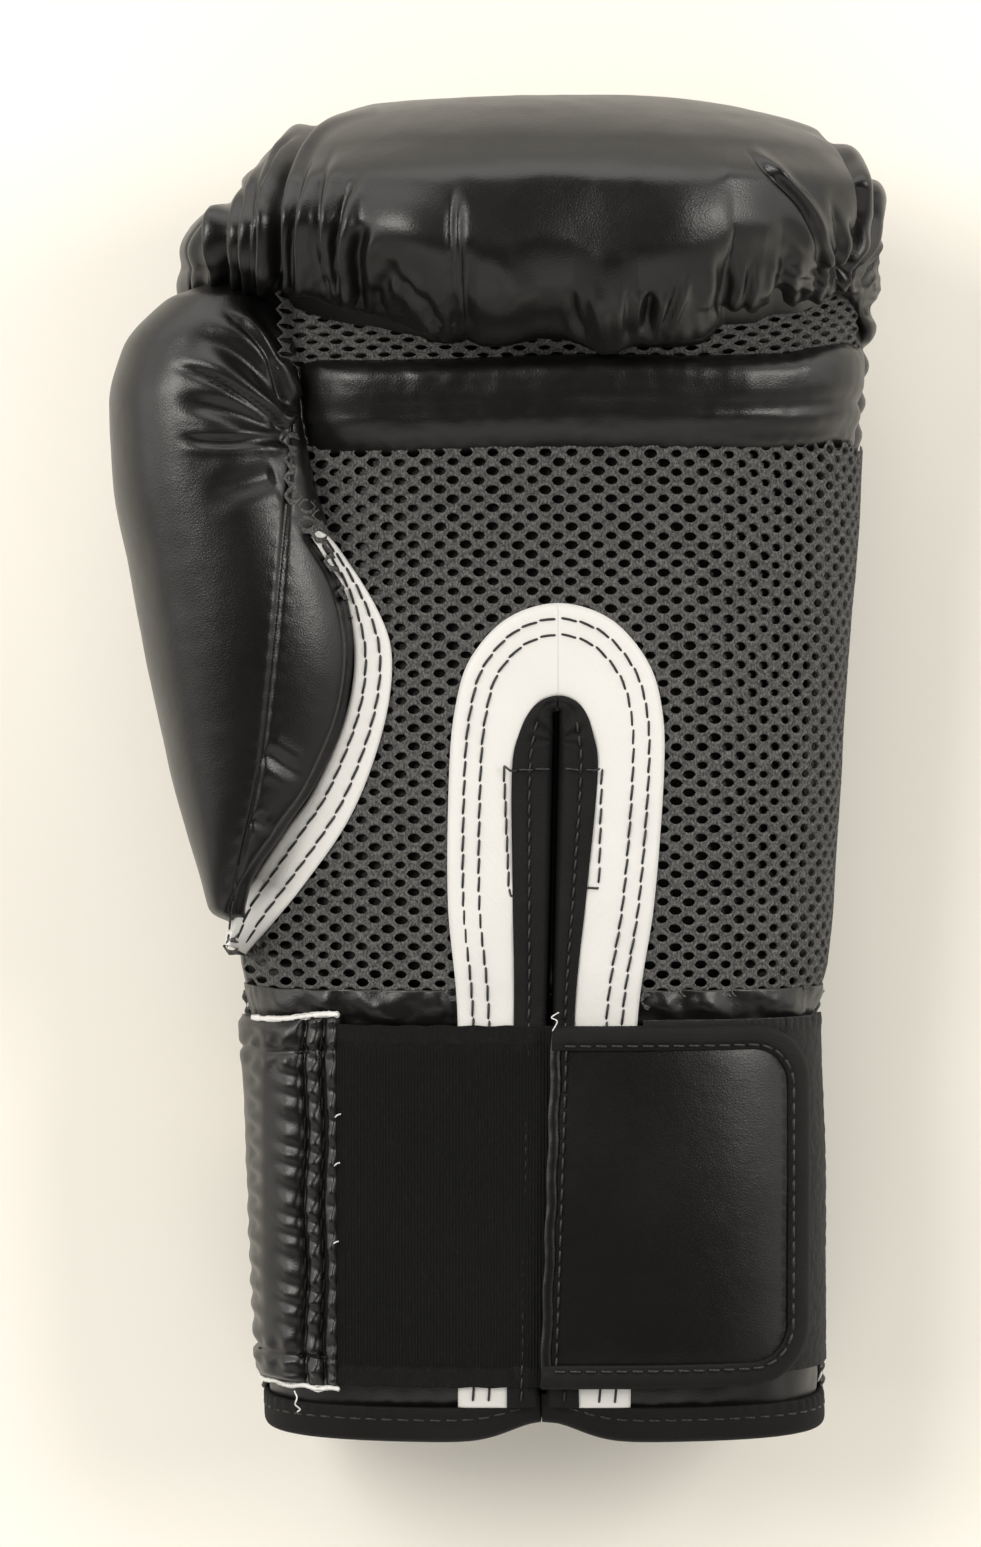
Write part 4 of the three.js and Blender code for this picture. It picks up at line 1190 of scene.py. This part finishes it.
def build_thumb():
    """The thumb: its leather and foam as one closed body, sewn down the inner panel's seam."""
    y = np.concatenate([103 + 6 * (1 - np.cos(np.linspace(0, np.pi / 2, 12))),
                        np.arange(109.6, 240, 0.8),
                        240 + 11.5 * np.sin(np.linspace(0.05, np.pi / 2, 34))])
    p = surface(MOUND, y[:, None], turns(300)[None, :])
    n = normals(p, True)
    plan = seen(p)
    facing = bump(n[..., 2], 0.0, 0.3)
    h = 0.6 * rough(p, 42.0, 12.0, 1) + 0.09 * rough(p, 11.0, 3.0)
    h = h + folded(plan, THUMB_FOLDS) * facing
    ticks = np.sin(y * 2 * np.pi / 4.1)[:, None]
    gap = plan[..., 0] - np.interp(plan[..., 1], THUMB_SEAM[:, 1], THUMB_SEAM[:, 0])
    h = h + 0.07 * ticks * bell(np.abs(gap) - 1.5, 1.0) * facing
    strip = np.interp(p[..., 1], STRIP_INNER[:, 1], STRIP_INNER[:, 0])
    under = bump(p[..., 0], strip - 2.4, strip + 0.2) * bump(p[..., 1], 199, 195) * facing
    h = h * (1 - under) - 1.3 * under
    p = p + n * h[..., None]
    tip = bump(p[..., 1], 117, 106)
    p = p + np.stack([2.5 * tip, 5.0 * tip, -7.0 * tip], -1)
    thumb = capped("thumb_padding", p)
    dress(thumb, "thumb", "black_leather", bend=THUMB_BEND,
          replaces=("thumb_shell", "thumb_foam", "thumb_inner_panel"))
    rows = [stitch_row(on_palm(THUMB_SEAM[6:-12], -0.75), 4.1, 3.0, 0.24, 0.0)]
    sew("thumb_stitches", "thumb", rows, bend=THUMB_BEND)


# ---- grip bar -----------------------------------------------------------------------------------


def build_bar():
    """The padded bar across the palm, swelling from its left end and flat at the right side."""
    columns, rows = 84, 300
    end = float(side_x(226.0, -0.05))
    x = np.linspace(-44.5, end, rows)
    low = np.interp(x, [-45, 40, 62, 78, end], [213.2, 213.4, 214.6, 216.2, 216.4])
    high = np.interp(x, [-45, 40, 62, 78, end], [234.2, 234.4, 236.4, 240.0, 240.4])
    fat = np.sqrt(np.clip(1 - (np.clip((x + 30) / 14.5, -1, 0)) ** 2, 0.01, 1))
    fat = fat * (0.22 + 0.78 * bump(x, end - 8, 64))
    angle = turns(columns)
    c, s = np.cos(angle)[None, :], np.sin(angle)[None, :]
    v = np.sign(c) * np.abs(c) ** 0.75
    yy = (low + high)[:, None] / 2 + v * (high - low)[:, None] / 2
    yy = yy + 0.5 * np.sin(x * 0.07)[:, None]
    # fullest towards the fingers, with a long slope to the palm
    peak = 0.42
    full = np.where(v < peak, 1 - (np.clip(peak - v, 0, None) / (1 + peak)) ** 2.3,
                    1 - (np.clip(v - peak, 0, None) / (1 - peak)) ** 2.6)
    full = np.clip(full, 0, 1) ** 0.55
    rise = np.where(s > 0, 8.6 * full * fat[:, None] - 3.2, -4.5)
    fold = bell(v + 0.12, 0.13) * (0.35 + 0.9 * bump(x, 38, 70))[:, None]
    fold = fold + 0.5 * bell(v + 0.62, 0.12) * bump(x, 30, 60)[:, None]
    flat = np.dstack([np.broadcast_to(x[:, None], yy.shape), yy, rise])
    soft = 0.5 * rough(flat, 20.0, 21.0) + 0.18 * rough(flat, 6.0, 2.0)
    pucker = 0.12 * np.sin(x * 1.3 + 0.8 * np.sin(x * 0.3))[:, None] * bump(np.abs(v), 0.6, 1.0)
    rise = rise + np.where(s > 0, soft + pucker - 1.0 * fold, 0)
    p = around(flat[..., 0], np.minimum(yy, 236.5), rise).reshape(rows, columns, 3)
    p[..., 1] = yy
    bar = capped("grip_bar", p)
    dress(bar, "glove", "black_leather",
          replaces=("grip_bar_cover", "grip_bar_core"))


# ---- cuff ---------------------------------------------------------------------------------------


def hem_rise(x, y):
    """How far the hem curves up near the slit."""
    return 4.6 * bell(x - 10, 10.0) * np.clip(1 - y / 30, 0, 1)


SEAM_GAP = 0.003  # in radians, between the cuff's parts at the side seams
CUFF_LOW = 6.5  # where the cuff's leather, padding and lining begin, inside the hem's binding


def cuff_region(side, y, count, form=BODY, seam=SEAM_GAP, gap=0.7):
    """Angles round the cuff for its left flap (-1), right flap (1) or back (0)."""
    t = np.linspace(0, 1, count)[None, :]
    y = np.asarray(y, float)[:, None]
    slit = angle_at(form, slit_x(y) + gap * side, y)
    if side < 0:
        return slit + (np.pi - seam - slit) * t
    if side > 0:
        return seam + (slit - seam) * t
    return np.pi + seam + (np.pi - 2 * seam) * t


def flap(p):
    """Lets the cuff's lower end follow its hem, up at the front and a little down at the back."""
    p = p.copy()
    front = bump(p[..., 2], SEAM_Z - 12, SEAM_Z + 6)
    p[..., 1] += hem_rise(p[..., 0], p[..., 1]) * (front - 0.25 * (1 - front))
    return p


def cuff_leather(side, name, body):
    """The leather of one part of the cuff, tucked under the fist's at the back."""
    y = np.concatenate([np.arange(CUFF_LOW, 84, 1.3), np.arange(84, 99.1, 0.5)])
    if side == 0:
        y = np.append(y, [100.0, 101.0])
    p = surface(BODY, y[:, None], cuff_region(side, y, 190))
    n = normals(p)
    if side == 0:
        h = 0.45 * rough(p, 20.0, 3.0) + 0.15 * rough(p, 7.0, 5.0)
        h = h - 1.0 * bump(p[..., 1], 97.5, 100)
    else:
        # a puffed, creased roll of leather between the strap and the palm
        roll = bell(p[..., 1] - 95.5, 4.2)
        roll = roll * (1 - bump(p[..., 0], -13, -9) * bump(p[..., 0], 34, 30))
        ripple = np.sin(p[..., 0] * 0.52 + 1.3 * np.sin(p[..., 0] * 0.17) + p[..., 1] * 0.35)
        h = roll * (1.3 + 0.55 * ripple) + 0.5 * rough(p, 12.0, 7.0) - 0.3
        h -= 1.4 * bell(p[..., 1] - 89.5, 1.4) * (0.6 + 0.4 * ripple)
        h += 0.3 * rough(p, 4.5, 1.0) * bump(p[..., 1], 84, 92)
        h -= 0.9 * bell(p[..., 2] - SEAM_Z, 2.5)
    piece = sheet_of(f"cuff_{name}", flap(p + n * h[..., None]), 1.2)
    dress(piece, body, "black_leather", replaces=(f"cuff_{name}_shell",))


def cuff_inside(side, name, body):
    """The cuff's padding, kept back from its edges, and its lining."""
    y = np.linspace(CUFF_LOW, 97.5, 30)
    back = {"seam": 0.05, "gap": 2.4}
    out = flap(surface(BODY, y[:, None], cuff_region(side, y, 70, **back), 1.9))
    inn = flap(surface(HAND, y[:, None], cuff_region(side, y, 70, HAND, **back), -1.2))
    piece = slab(f"cuff_pad_{name}", out, inn)
    dress(piece, body, "foam", replaces=(f"cuff_{name}_padding",))
    y = np.linspace(CUFF_LOW, 98.0, 60)
    p = surface(HAND, y[:, None], cuff_region(side, y, 90, HAND), -0.9)
    p = flap(p - normals(p) * (0.5 + 0.45 * rough(p, 11.0, 4.0))[..., None])
    piece = sheet_of(f"cuff_lining_{name}", p, 0.6)
    dress(piece, body, "lining", replaces=(f"cuff_{name}_lining",))


# Section of the hem's binding, from outside, round the edge, to the inside: y, then the share of
# the way from the outside to the lining.
HEM_PROFILE = [(8.2, 0.04), (8.5, -0.07), (7.9, -0.13), (5, -0.15), (1.6, -0.13), (0.3, 0.1),
               (0.0, 0.5), (0.3, 0.9), (1.6, 1.1), (7.6, 1.08), (7.8, 0.98)]


def closed(profile, count):
    """A section as a smooth closed ring of points."""
    return spline(profile + profile[:1], count)[:-1]


def cuff_hem(side, name, body):
    """Bias binding over the hem, and the stitches that hold it."""
    profile = closed(HEM_PROFILE, 60)
    ys, share = profile[:, :1], profile[:, 1:]
    angle = cuff_region(side, np.zeros(1), 150, gap=0.15)[0]
    outside, inside = surface(BODY, ys, angle[None]), surface(HAND, ys, angle[None])
    ring = outside * (1 - share[..., None]) + inside * share[..., None]
    ripple = 0.12 * np.sin(angle * 70 + np.sin(angle * 13))[None, :] * bump(ys, 5.0, 8.5)
    ring = ring + (outside - inside) / 8 * ripple[..., None]
    piece = capped(f"hem_{name}", flap(ring).transpose(1, 0, 2))
    dress(piece, body, "black_binding", replaces=(f"hem_binding_{name}",))
    angle = cuff_region(side, np.full(1, 5.2), 260)[0][3:-3]
    line = flap(surface(BODY, 5.6, angle, -1.15))
    sew(f"hem_stitches_{name}", body, [stitch_row(line, 3.4, 2.6, 0.28, 0.05, 0.3)])


def build_cuff():
    for part in ((0, "back", "glove"), (-1, "left", "cuff_left"), (1, "right", "cuff_right")):
        cuff_leather(*part)
        cuff_inside(*part)
        cuff_hem(*part)


# ---- strap --------------------------------------------------------------------------------------

STRAP_Y = (13.4, 91.3)  # the strap's lower and upper edge
TAB = {"right": 67.6, "radius": 13.0, "edge": 5.2}
LOOP = {"left": 31.0, "low": 15.5, "high": 92.5, "lift": 0.8, "pile_top": 89.2}


def tab_left(y):
    """The tab's slanting left edge."""
    return 11.4 - 2.4 * (STRAP_Y[1] - np.asarray(y, float)) / (STRAP_Y[1] - STRAP_Y[0])


def over_cuff(x, y, lift):
    """Points laid over the cuff's palm side, `lift` above its leather."""
    x, y = np.broadcast_arrays(np.asarray(x, float), np.asarray(y, float))
    return np.stack([x, y, top(BODY, x, y, -np.asarray(lift, float))], -1)


def ragged(name, line, width, thickness):
    """A narrow torn edge of the anchor: a strip with an uneven outer side."""
    t = np.linspace(-0.5, 0.5, 7)[None, :]
    out = offset(line[:, :2], 1.0) - line[:, :2]
    size = width * (1 + 0.45 * rough(line * [1, 1, 0], 1.1, 4.0))
    plan = line[:, None, :2] + out[:, None] * (t * size[:, None])[..., None]
    z = line[:, None, 2] + thickness * (0.6 - (2 * t) ** 4)
    z = z + 0.16 * rough(np.dstack([plan, z]), 0.8, 2.0)
    dress(laid_sheet(name, plan, z, thickness), "cuff_left", "white_leather")


ANCHOR_ROWS = (19.0, 85.0)  # the cross seams


def build_anchor():
    """The quilted patch that holds the strap's left end, its seams, torn edges and threads."""
    y = np.arange(12.6, 92.01, 0.42)
    right = angle_at(BODY, -34.6, y, -3.0)[:, None]
    angle = right + (np.pi - 0.1 - right) * np.linspace(0, 1, 150)[None, :]
    lift = 3.0
    p = surface(BODY, y[:, None], angle, -lift)
    n = normals(p)
    x, yy = p[..., 0], p[..., 1]
    wobble = 0.35 * np.sin(yy * 0.21)
    groove = bell(x + 42.2 - wobble, 0.75) + bell(x + 38.1 - wobble, 0.75)
    bead = np.sin(2 * np.pi * yy / 5.0 + 0.7 * np.sin(yy * 0.4) + 0.4 * (x + 40))
    h = 1.1 * bump(x, -54.5, -50) * bump(x, -42, -46) - 1.5 * groove
    h += 0.4 * rough(p, 22.0, 1.0) + 0.1 * rough(p, 7.0, 2.0)
    h += bell(x + 40.15 - wobble, 1.25) * (0.5 + 0.55 * bead)
    h += bell(x + 35.9, 1.25) * (0.5 + 0.6 * np.sin(2 * np.pi * yy / 6.1 + 1))
    h += 0.34 * bead * bell(x + 45.0, 2.0)
    h += 0.5 * np.sin(2 * np.pi * yy / 5.3) * bell(x + 53.5, 1.8)
    for row in ANCHOR_ROWS:
        h -= 0.7 * bell(yy - row, 0.7)
        h += 0.25 * np.sin(2 * np.pi * x / 3.6) * bell(np.abs(yy - row) - 2.2, 1.3)
    ends = bump(yy, 12.5, 14.5) * bump(yy, 92.1, 90)
    h = h * ends - 0.9 * (1 - ends)
    # its right edge turns down onto the elastic
    h -= 1.6 * bump(x, -35.6, -34.5)
    p = p + n * h[..., None]
    p[..., 1] += 1.6 * bump(x, -50, -36) * bump(yy, 70, 92)
    piece = slab("strap_anchor", p, p - n * 1.9)
    dress(piece, "cuff_left", "black_leather", replaces=("strap_anchor_patch",))

    rows = []
    for at in (-42.2, -38.1):
        ys = np.arange(15, 90, 0.5)
        line = over_cuff(at + 0.35 * np.sin(ys * 0.21), ys, lift - 0.9)
        rows.append(stitch_row(line, 4.3, 3.0, 0.24, 0.1))
    xs = np.arange(-53, -35, 0.5)
    for row in ANCHOR_ROWS:
        line = over_cuff(xs, row + 0.03 * (xs + 45), lift - 0.5)
        rows.append(stitch_row(line, 3.6, 2.7, 0.22, 0.05))
    sew("anchor_stitches", "cuff_left", rows, thread=FINISHES["black_binding"])
    xs = np.linspace(-54.2, -34.6, 90)
    line = over_cuff(xs, 92.0 + 1.6 * bump(xs, -50, -36), 2.4)
    ragged("anchor_raw_edge_top", line, 1.3, 1.1)
    line = over_cuff(xs, 12.3 + 0.25 * np.sin(xs), 2.3)
    ragged("anchor_raw_edge_bottom", line, 1.0, 1.0)
    path = [(-44, 12.5, 71.0), (-43.4, 11.2, 71.9), (-43.8, 9.7, 71.4), (-42.8, 8.6, 70.8),
            (-43.4, 7.9, 70.2)]
    loose = [tube(spline(path, 30), 0.16)]
    for x, y in ((-35.4, 61), (-35.2, 71.5), (-35.7, 44)):
        z = float(top(BODY, x, y, -lift)) + 0.35
        path = [(x, y, z), (x + 0.5, y + 0.5, z + 0.35), (x + 1.2, y + 0.7, z)]
        loose.append(tube(spline(path, 8), 0.16))
    dress(join("loose_thread", loose), "cuff_left", "white_leather", PALE_THREAD)


def build_elastic():
    """The ribbed elastic between the anchor and the tab."""
    x = np.linspace(-37.2, 11.6, 48 * 10 + 1)
    y = np.concatenate([np.linspace(STRAP_Y[0], 18, 14), np.linspace(18.5, 86.5, 46),
                        np.linspace(87, STRAP_Y[1], 14)])
    p = over_cuff(x[None, :], y[:, None], 2.6)
    selvage = bump(p[..., 1], 18.4, 17.2) + bump(p[..., 1], 86.4, 87.6)
    ribs = np.cos(2 * np.pi * p[..., 0] / 0.68)
    h = 0.13 * ribs * (1 - 0.75 * selvage) + 0.3 * rough(p, 24.0, 3.0)
    h = h - 0.25 * (bell(p[..., 1] - 17.8, 0.4) + bell(p[..., 1] - 87, 0.4))
    h = h + 0.18 * np.sin(p[..., 0] * 1.1) * selvage
    p[..., 2] += h
    p[..., 1] += 0.12 * np.sin(p[..., 0] * 0.9) * selvage
    piece = sheet_of("strap_elastic_band", facing_up(p), 1.3)
    dress(piece, "strap", "elastic", replaces=("strap_elastic",))


def tab_edge(inset, count=260):
    """The tab's outline at an inset, from its top left, round the right end, to its bottom left."""
    low, high, r = STRAP_Y[0] + inset, STRAP_Y[1] - inset, TAB["radius"] - inset
    turn = np.linspace(np.pi / 2, 0, 24)
    x, y = TAB["right"] - inset - r + r * np.cos(turn), r - r * np.sin(turn)
    upper, lower = np.stack([x, high - y], -1), np.stack([x, low + y], -1)[::-1]
    ends = [(tab_left(high), high)], [(tab_left(low), low)]
    return resample(np.vstack([ends[0], upper, lower, ends[1]]), count)


def tab_sheet(name, inset, lift, thickness, puff, slot, node, left=None):
    """One layer of the tab, raised by puff inside its rim."""
    line = tab_edge(inset, 400)
    half = len(line) // 2
    low, high = STRAP_Y[0] + inset, STRAP_Y[1] - inset
    middle = (low + high) / 2
    y = middle + np.sin(np.linspace(-np.pi / 2, np.pi / 2, 110)) * (high - low) / 2 * 0.9999
    upper, lower = line[:half][::-1], line[half:][::-1]
    right = np.where(y > middle, np.interp(y, upper[:, 1], upper[:, 0]),
                     np.interp(y, lower[:, 1], lower[:, 0]))[:, None]
    left = tab_left(y)[:, None] if left is None else left
    x = left + (right - left) * np.linspace(0, 1, 130)[None, :]
    y = np.broadcast_to(y[:, None], x.shape)
    p = over_cuff(x, y, lift)
    rim = np.minimum(np.minimum(x - left, right - x), np.minimum(y - low, high - y))
    uneven = 0.35 * rough(p, 30.0, 5.0, 1) + 0.05 * rough(p, 9.0, 1.0)
    p[..., 2] += puff * (1 - np.exp(-rim / 3.0) + uneven)
    return dress(sheet_of(name, facing_up(p), thickness), "tab", slot, replaces=(node,))


# Section of the tab's binding: the share of its width from the outline inwards, then its height.
TAB_PROFILE = [(1.0, 0.12), (0.97, 0.7), (0.7, 0.98), (0.35, 1.0), (0.12, 0.86), (0.0, 0.45),
               (0.0, 0.0), (0.3, -0.14), (0.95, -0.12)]


def build_tab():
    """The hook and loop tab: face, backing, hooks, binding, folded end and stitches."""
    tab_sheet("tab_leather", 3.0, 4.0, 0.9, 0.75, "black_leather", "tab_face")
    tab_sheet("tab_lining", 2.5, 3.1, 0.8, 0.0, "black_binding", "tab_backing")
    hooks = tab_sheet("tab_hooks", 7.5, 2.2, 0.9, 0.0, "hook_tape", "hook_patch", left=30.0)
    hooks.data.shade_smooth()

    outer, inner = tab_edge(0.0), tab_edge(TAB["edge"])
    profile = closed(TAB_PROFILE, 31)
    t, rise = profile[:, 0][None, :], profile[:, 1][None, :]
    plan = outer[:, None] * (1 - t[..., None]) + inner[:, None] * t[..., None]
    z = top(BODY, plan[..., 0], plan[..., 1], -3.2) + rise * 2.6
    z += 0.1 * rough(level(plan), 4.0, 6.0) - 0.35 * bell(t - 0.78, 0.09) * (rise > 0.5)
    piece = capped("tab_edge_binding", np.dstack([plan, z]))
    dress(piece, "tab", "black_binding", replaces=("tab_binding",))

    # the folded left edge of the face, sewn down on the elastic
    y = np.linspace(STRAP_Y[0] + 0.5, STRAP_Y[1] - 0.5, 150)
    across = np.linspace(-1, 1, 13)[None, :]
    x = tab_left(y)[:, None] + 0.9 + 1.25 * across + 0.15 * np.sin(y * 0.5)[:, None]
    p = over_cuff(x, y[:, None], 4.3)
    p[..., 2] += 0.75 * np.sqrt(1 - across**2 * 0.98) + 0.15 * rough(p, 5.0, 2.0)
    dress(sheet_of("tab_fold", facing_up(p), 0.9), "tab", "black_leather")

    edge = tab_edge(TAB["edge"] * 0.78, 300)[4:-4]
    edge = over_cuff(edge[:, 0], edge[:, 1], 5.6)
    y = np.arange(STRAP_Y[0] + 4, STRAP_Y[1] - 4, 0.5)
    seam = over_cuff(tab_left(y) + 3.1, y, 4.7)
    sew("tab_stitches", "tab", [stitch_row(edge, 3.3, 2.5, 0.28, 0.05, 0.3),
                                stitch_row(seam, 3.3, 2.6, 0.24, 0.05)])
    z = float(top(BODY, 11.5, 91, -5.6))
    path = [(11.4, 90.5, z), (12.4, 92.6, z + 0.6), (11.2, 93.4, z), (12.8, 94.4, z - 1.4)]
    loose = join("tab_loose_thread", [tube(spline(path, 24), 0.14)])
    dress(loose, "tab", "white_leather", PALE_THREAD)


def build_loop():
    """The loop tape on the cuff's right flap, with a pile of small loops."""
    x = np.linspace(0, 1, 90)[None, :]
    y = np.linspace(LOOP["low"], LOOP["high"], 150)[:, None]
    first = angle_at(BODY, LOOP["left"], y, -LOOP["lift"])
    p = surface(BODY, y, first + (0.12 - first) * x, -LOOP["lift"])
    h = 0.2 * rough(p, 2.0, 3.0) - 0.25 * bump(p[..., 1], 89.4, 90.2)
    h = h + 0.16 * np.cos(2 * np.pi * p[..., 0] / 1.5) * bump(p[..., 1], 89.6, 90.4)
    piece = sheet_of("loop_tape", (p + normals(p) * h[..., None])[:, ::-1], -1.0)
    dress(piece, "cuff_right", "loop_pile", replaces=("loop_panel",))

    draw = np.random.default_rng(11)
    count = 3000  # loops in the pile
    y = draw.uniform(LOOP["low"] + 0.8, LOOP["pile_top"], count)
    share = draw.uniform(0.0, 0.98, count)
    first = angle_at(BODY, LOOP["left"], y, -LOOP["lift"])
    angle = first + (0.13 - first) * share
    foot = surface(BODY, y, angle, -LOOP["lift"])
    up = foot - surface(BODY, y, angle, 0.2)
    turn = draw.uniform(0, 2 * np.pi, count)
    size = draw.uniform(0.35, 0.7, count)
    arc = np.linspace(0, np.pi, 6)
    c, s = np.cos(arc)[:, None], np.sin(arc)[:, None]
    loops = []
    for a, u, w, r in zip(foot, up, turn, size):
        side = np.array([math.cos(w), math.sin(w), 0.0])
        loops.append(tube(a + side * (r * c) + u * (1.3 * r * s - 0.1), 0.07, 4))
    dress(join("loop_pile_fibres", loops), "cuff_right", "loop_pile")


def build_beads():
    """Corded seams down the cuff's two sides, with pale stitches."""
    turn = turns(14)
    ring = np.stack([np.cos(turn), turn * 0, np.sin(turn)], -1)
    y = np.linspace(8.0, 97.0, 420)
    radius = 1.35 + 0.32 * np.sin(2 * np.pi * y[:, None] / 3.1 + turn[None, :])
    for side, name in SIDES:
        centre = surface(BODY, y, np.pi - 0.03 if side < 0 else 0.03, -0.1)
        bead = capped(f"side_bead_{name}", centre[:, None] + ring[None] * radius[..., None])
        dress(bead, f"cuff_{name}", "black_leather")
        line = centre + np.array([0.2 * side, 0, 1.35])
        sew(f"bead_stitches_{name}", f"cuff_{name}", [stitch_row(line, 5.2, 2.2, 0.26, 0.5)],
            thread=PALE_THREAD, slot="white_leather")


def build_badge():
    """The blank badge on the back of the cuff."""
    y = np.linspace(59.5, 77.0, 50)
    turn = np.pi + 0.05 + np.linspace(0, 1, 60) * 0.62
    p = surface(BODY, y[:, None], turn[None, :], -0.9)
    u, v = np.linspace(-1, 1, 50)[:, None], np.linspace(-1, 1, 60)[None, :]
    edge = 1 - np.maximum(np.abs(u), np.abs(v)) ** 10
    p = p + normals(p) * (0.7 * edge + 0.12 * rough(p, 7.0, 1.0))[..., None]
    dress(sheet_of("badge_blank", p, 1.0), "glove", "badge", replaces=("cuff_badge",))


build_fist()
build_hand_padding()
build_pocket()
build_palm_mesh()
build_crescent()
for part in SIDES:
    build_patch(*part)
    build_slit_edge(*part)
build_thumb()
build_bar()
build_cuff()
build_anchor()
build_elastic()
build_tab()
build_loop()
build_beads()
build_badge()


# ---- floor, light and camera --------------------------------------------------------------------


def light(name, place, aim, size, power):
    """A rectangular lamp, aimed at a point; its power is in watts."""
    data = bpy.data.lights.new(name, "AREA")
    data.shape = "RECTANGLE"
    data.size, data.size_y = size
    data.energy = power
    data.color = (1.0, 0.97, 0.92)
    lamp = bpy.data.objects.new(name, data)
    bpy.context.scene.collection.objects.link(lamp)
    lamp.location = place
    lamp.rotation_euler = (Vector(aim) - Vector(place)).to_track_quat("-Z", "Y").to_euler()
    return lamp


FLOOR = 9.0  # metres from the middle to each edge
floor_mesh = bpy.data.meshes.new("floor")
corners = [(x * FLOOR, y * FLOOR, 0) for x, y in ((-1, -1), (1, -1), (1, 1), (-1, 1))]
floor_mesh.from_pydata(corners, [], [(0, 1, 2, 3)])
floor = bpy.data.objects.new("floor", floor_mesh)
bpy.context.scene.collection.objects.link(floor)
floor.data.materials.append(floor_finish())

# A cream tent, dark overhead and brightest behind the fingers; the strength of its light is one
# ramp by height times another from the near side to the far side.
world = bpy.data.worlds.new("studio")
bpy.context.scene.world = world
world.use_nodes = True
sky = world.node_tree
way = sky.nodes.new("ShaderNodeTexCoord")
axes = sky.nodes.new("ShaderNodeSeparateXYZ")


def ramp(axis, values):
    node = sky.nodes.new("ShaderNodeMapRange")
    for key, value in zip(("From Min", "From Max", "To Min", "To Max"), values):
        node.inputs[key].default_value = value
    sky.links.new(axes.outputs[axis], node.inputs["Value"])
    return node.outputs["Result"]


ramps = ramp("Z", (0.35, 0.78, 1.15, 0.01)), ramp("Y", (-0.3, 0.9, 0.55, 2.2))
strength = sky.nodes.new("ShaderNodeMath")
strength.operation = "MULTIPLY"
for value, socket in zip(ramps, strength.inputs):
    sky.links.new(value, socket)
sky.links.new(way.outputs["Generated"], axes.inputs[0])
sky.links.new(strength.outputs[0], sky.nodes["Background"].inputs["Strength"])
sky.nodes["Background"].inputs["Color"].default_value = (1.0, 0.98, 0.94, 1)

light("tent", (0.0, 2.0, 1.5), (0, 0.1, 0.06), (2.2, 1.0), 9.0)
light("left_box", (-0.5, 0.3, 0.85), (-0.02, 0.12, 0.11), (0.4, 0.34), 5.2)
light("right_box", (0.77, 0.24, 0.85), (0.045, 0.12, 0.11), (0.44, 0.3), 5.0)
light("left_wall", (-1.5, 0.1, 1.0), (0, 0, 0.06), (0.8, 1.6), 6.5)
light("right_wall", (1.5, 0.1, 0.8), (0, 0, 0.06), (0.6, 1.4), 1.0)
light("near_wall", (0.0, -1.9, 1.5), (0, 0, 0.06), (2.6, 1.2), 7.0)
# evens out the light on the floor; reflections leave it out, so the leather does not mirror it
light("fill", (0.05, -0.5, 1.3), (0, -0.1, 0.0), (1.0, 1.0), 4.6).visible_glossy = False

camera_data = bpy.data.cameras.new("camera")
camera_data.lens = 85
camera_data.sensor_fit = "VERTICAL"
camera_data.sensor_height = 36
camera_data.sensor_width = 36
camera = bpy.data.objects.new("camera", camera_data)
bpy.context.scene.collection.objects.link(camera)
camera.location = spot(*EYE)
bpy.context.scene.camera = camera

bpy.context.scene.view_settings.view_transform = "Standard"
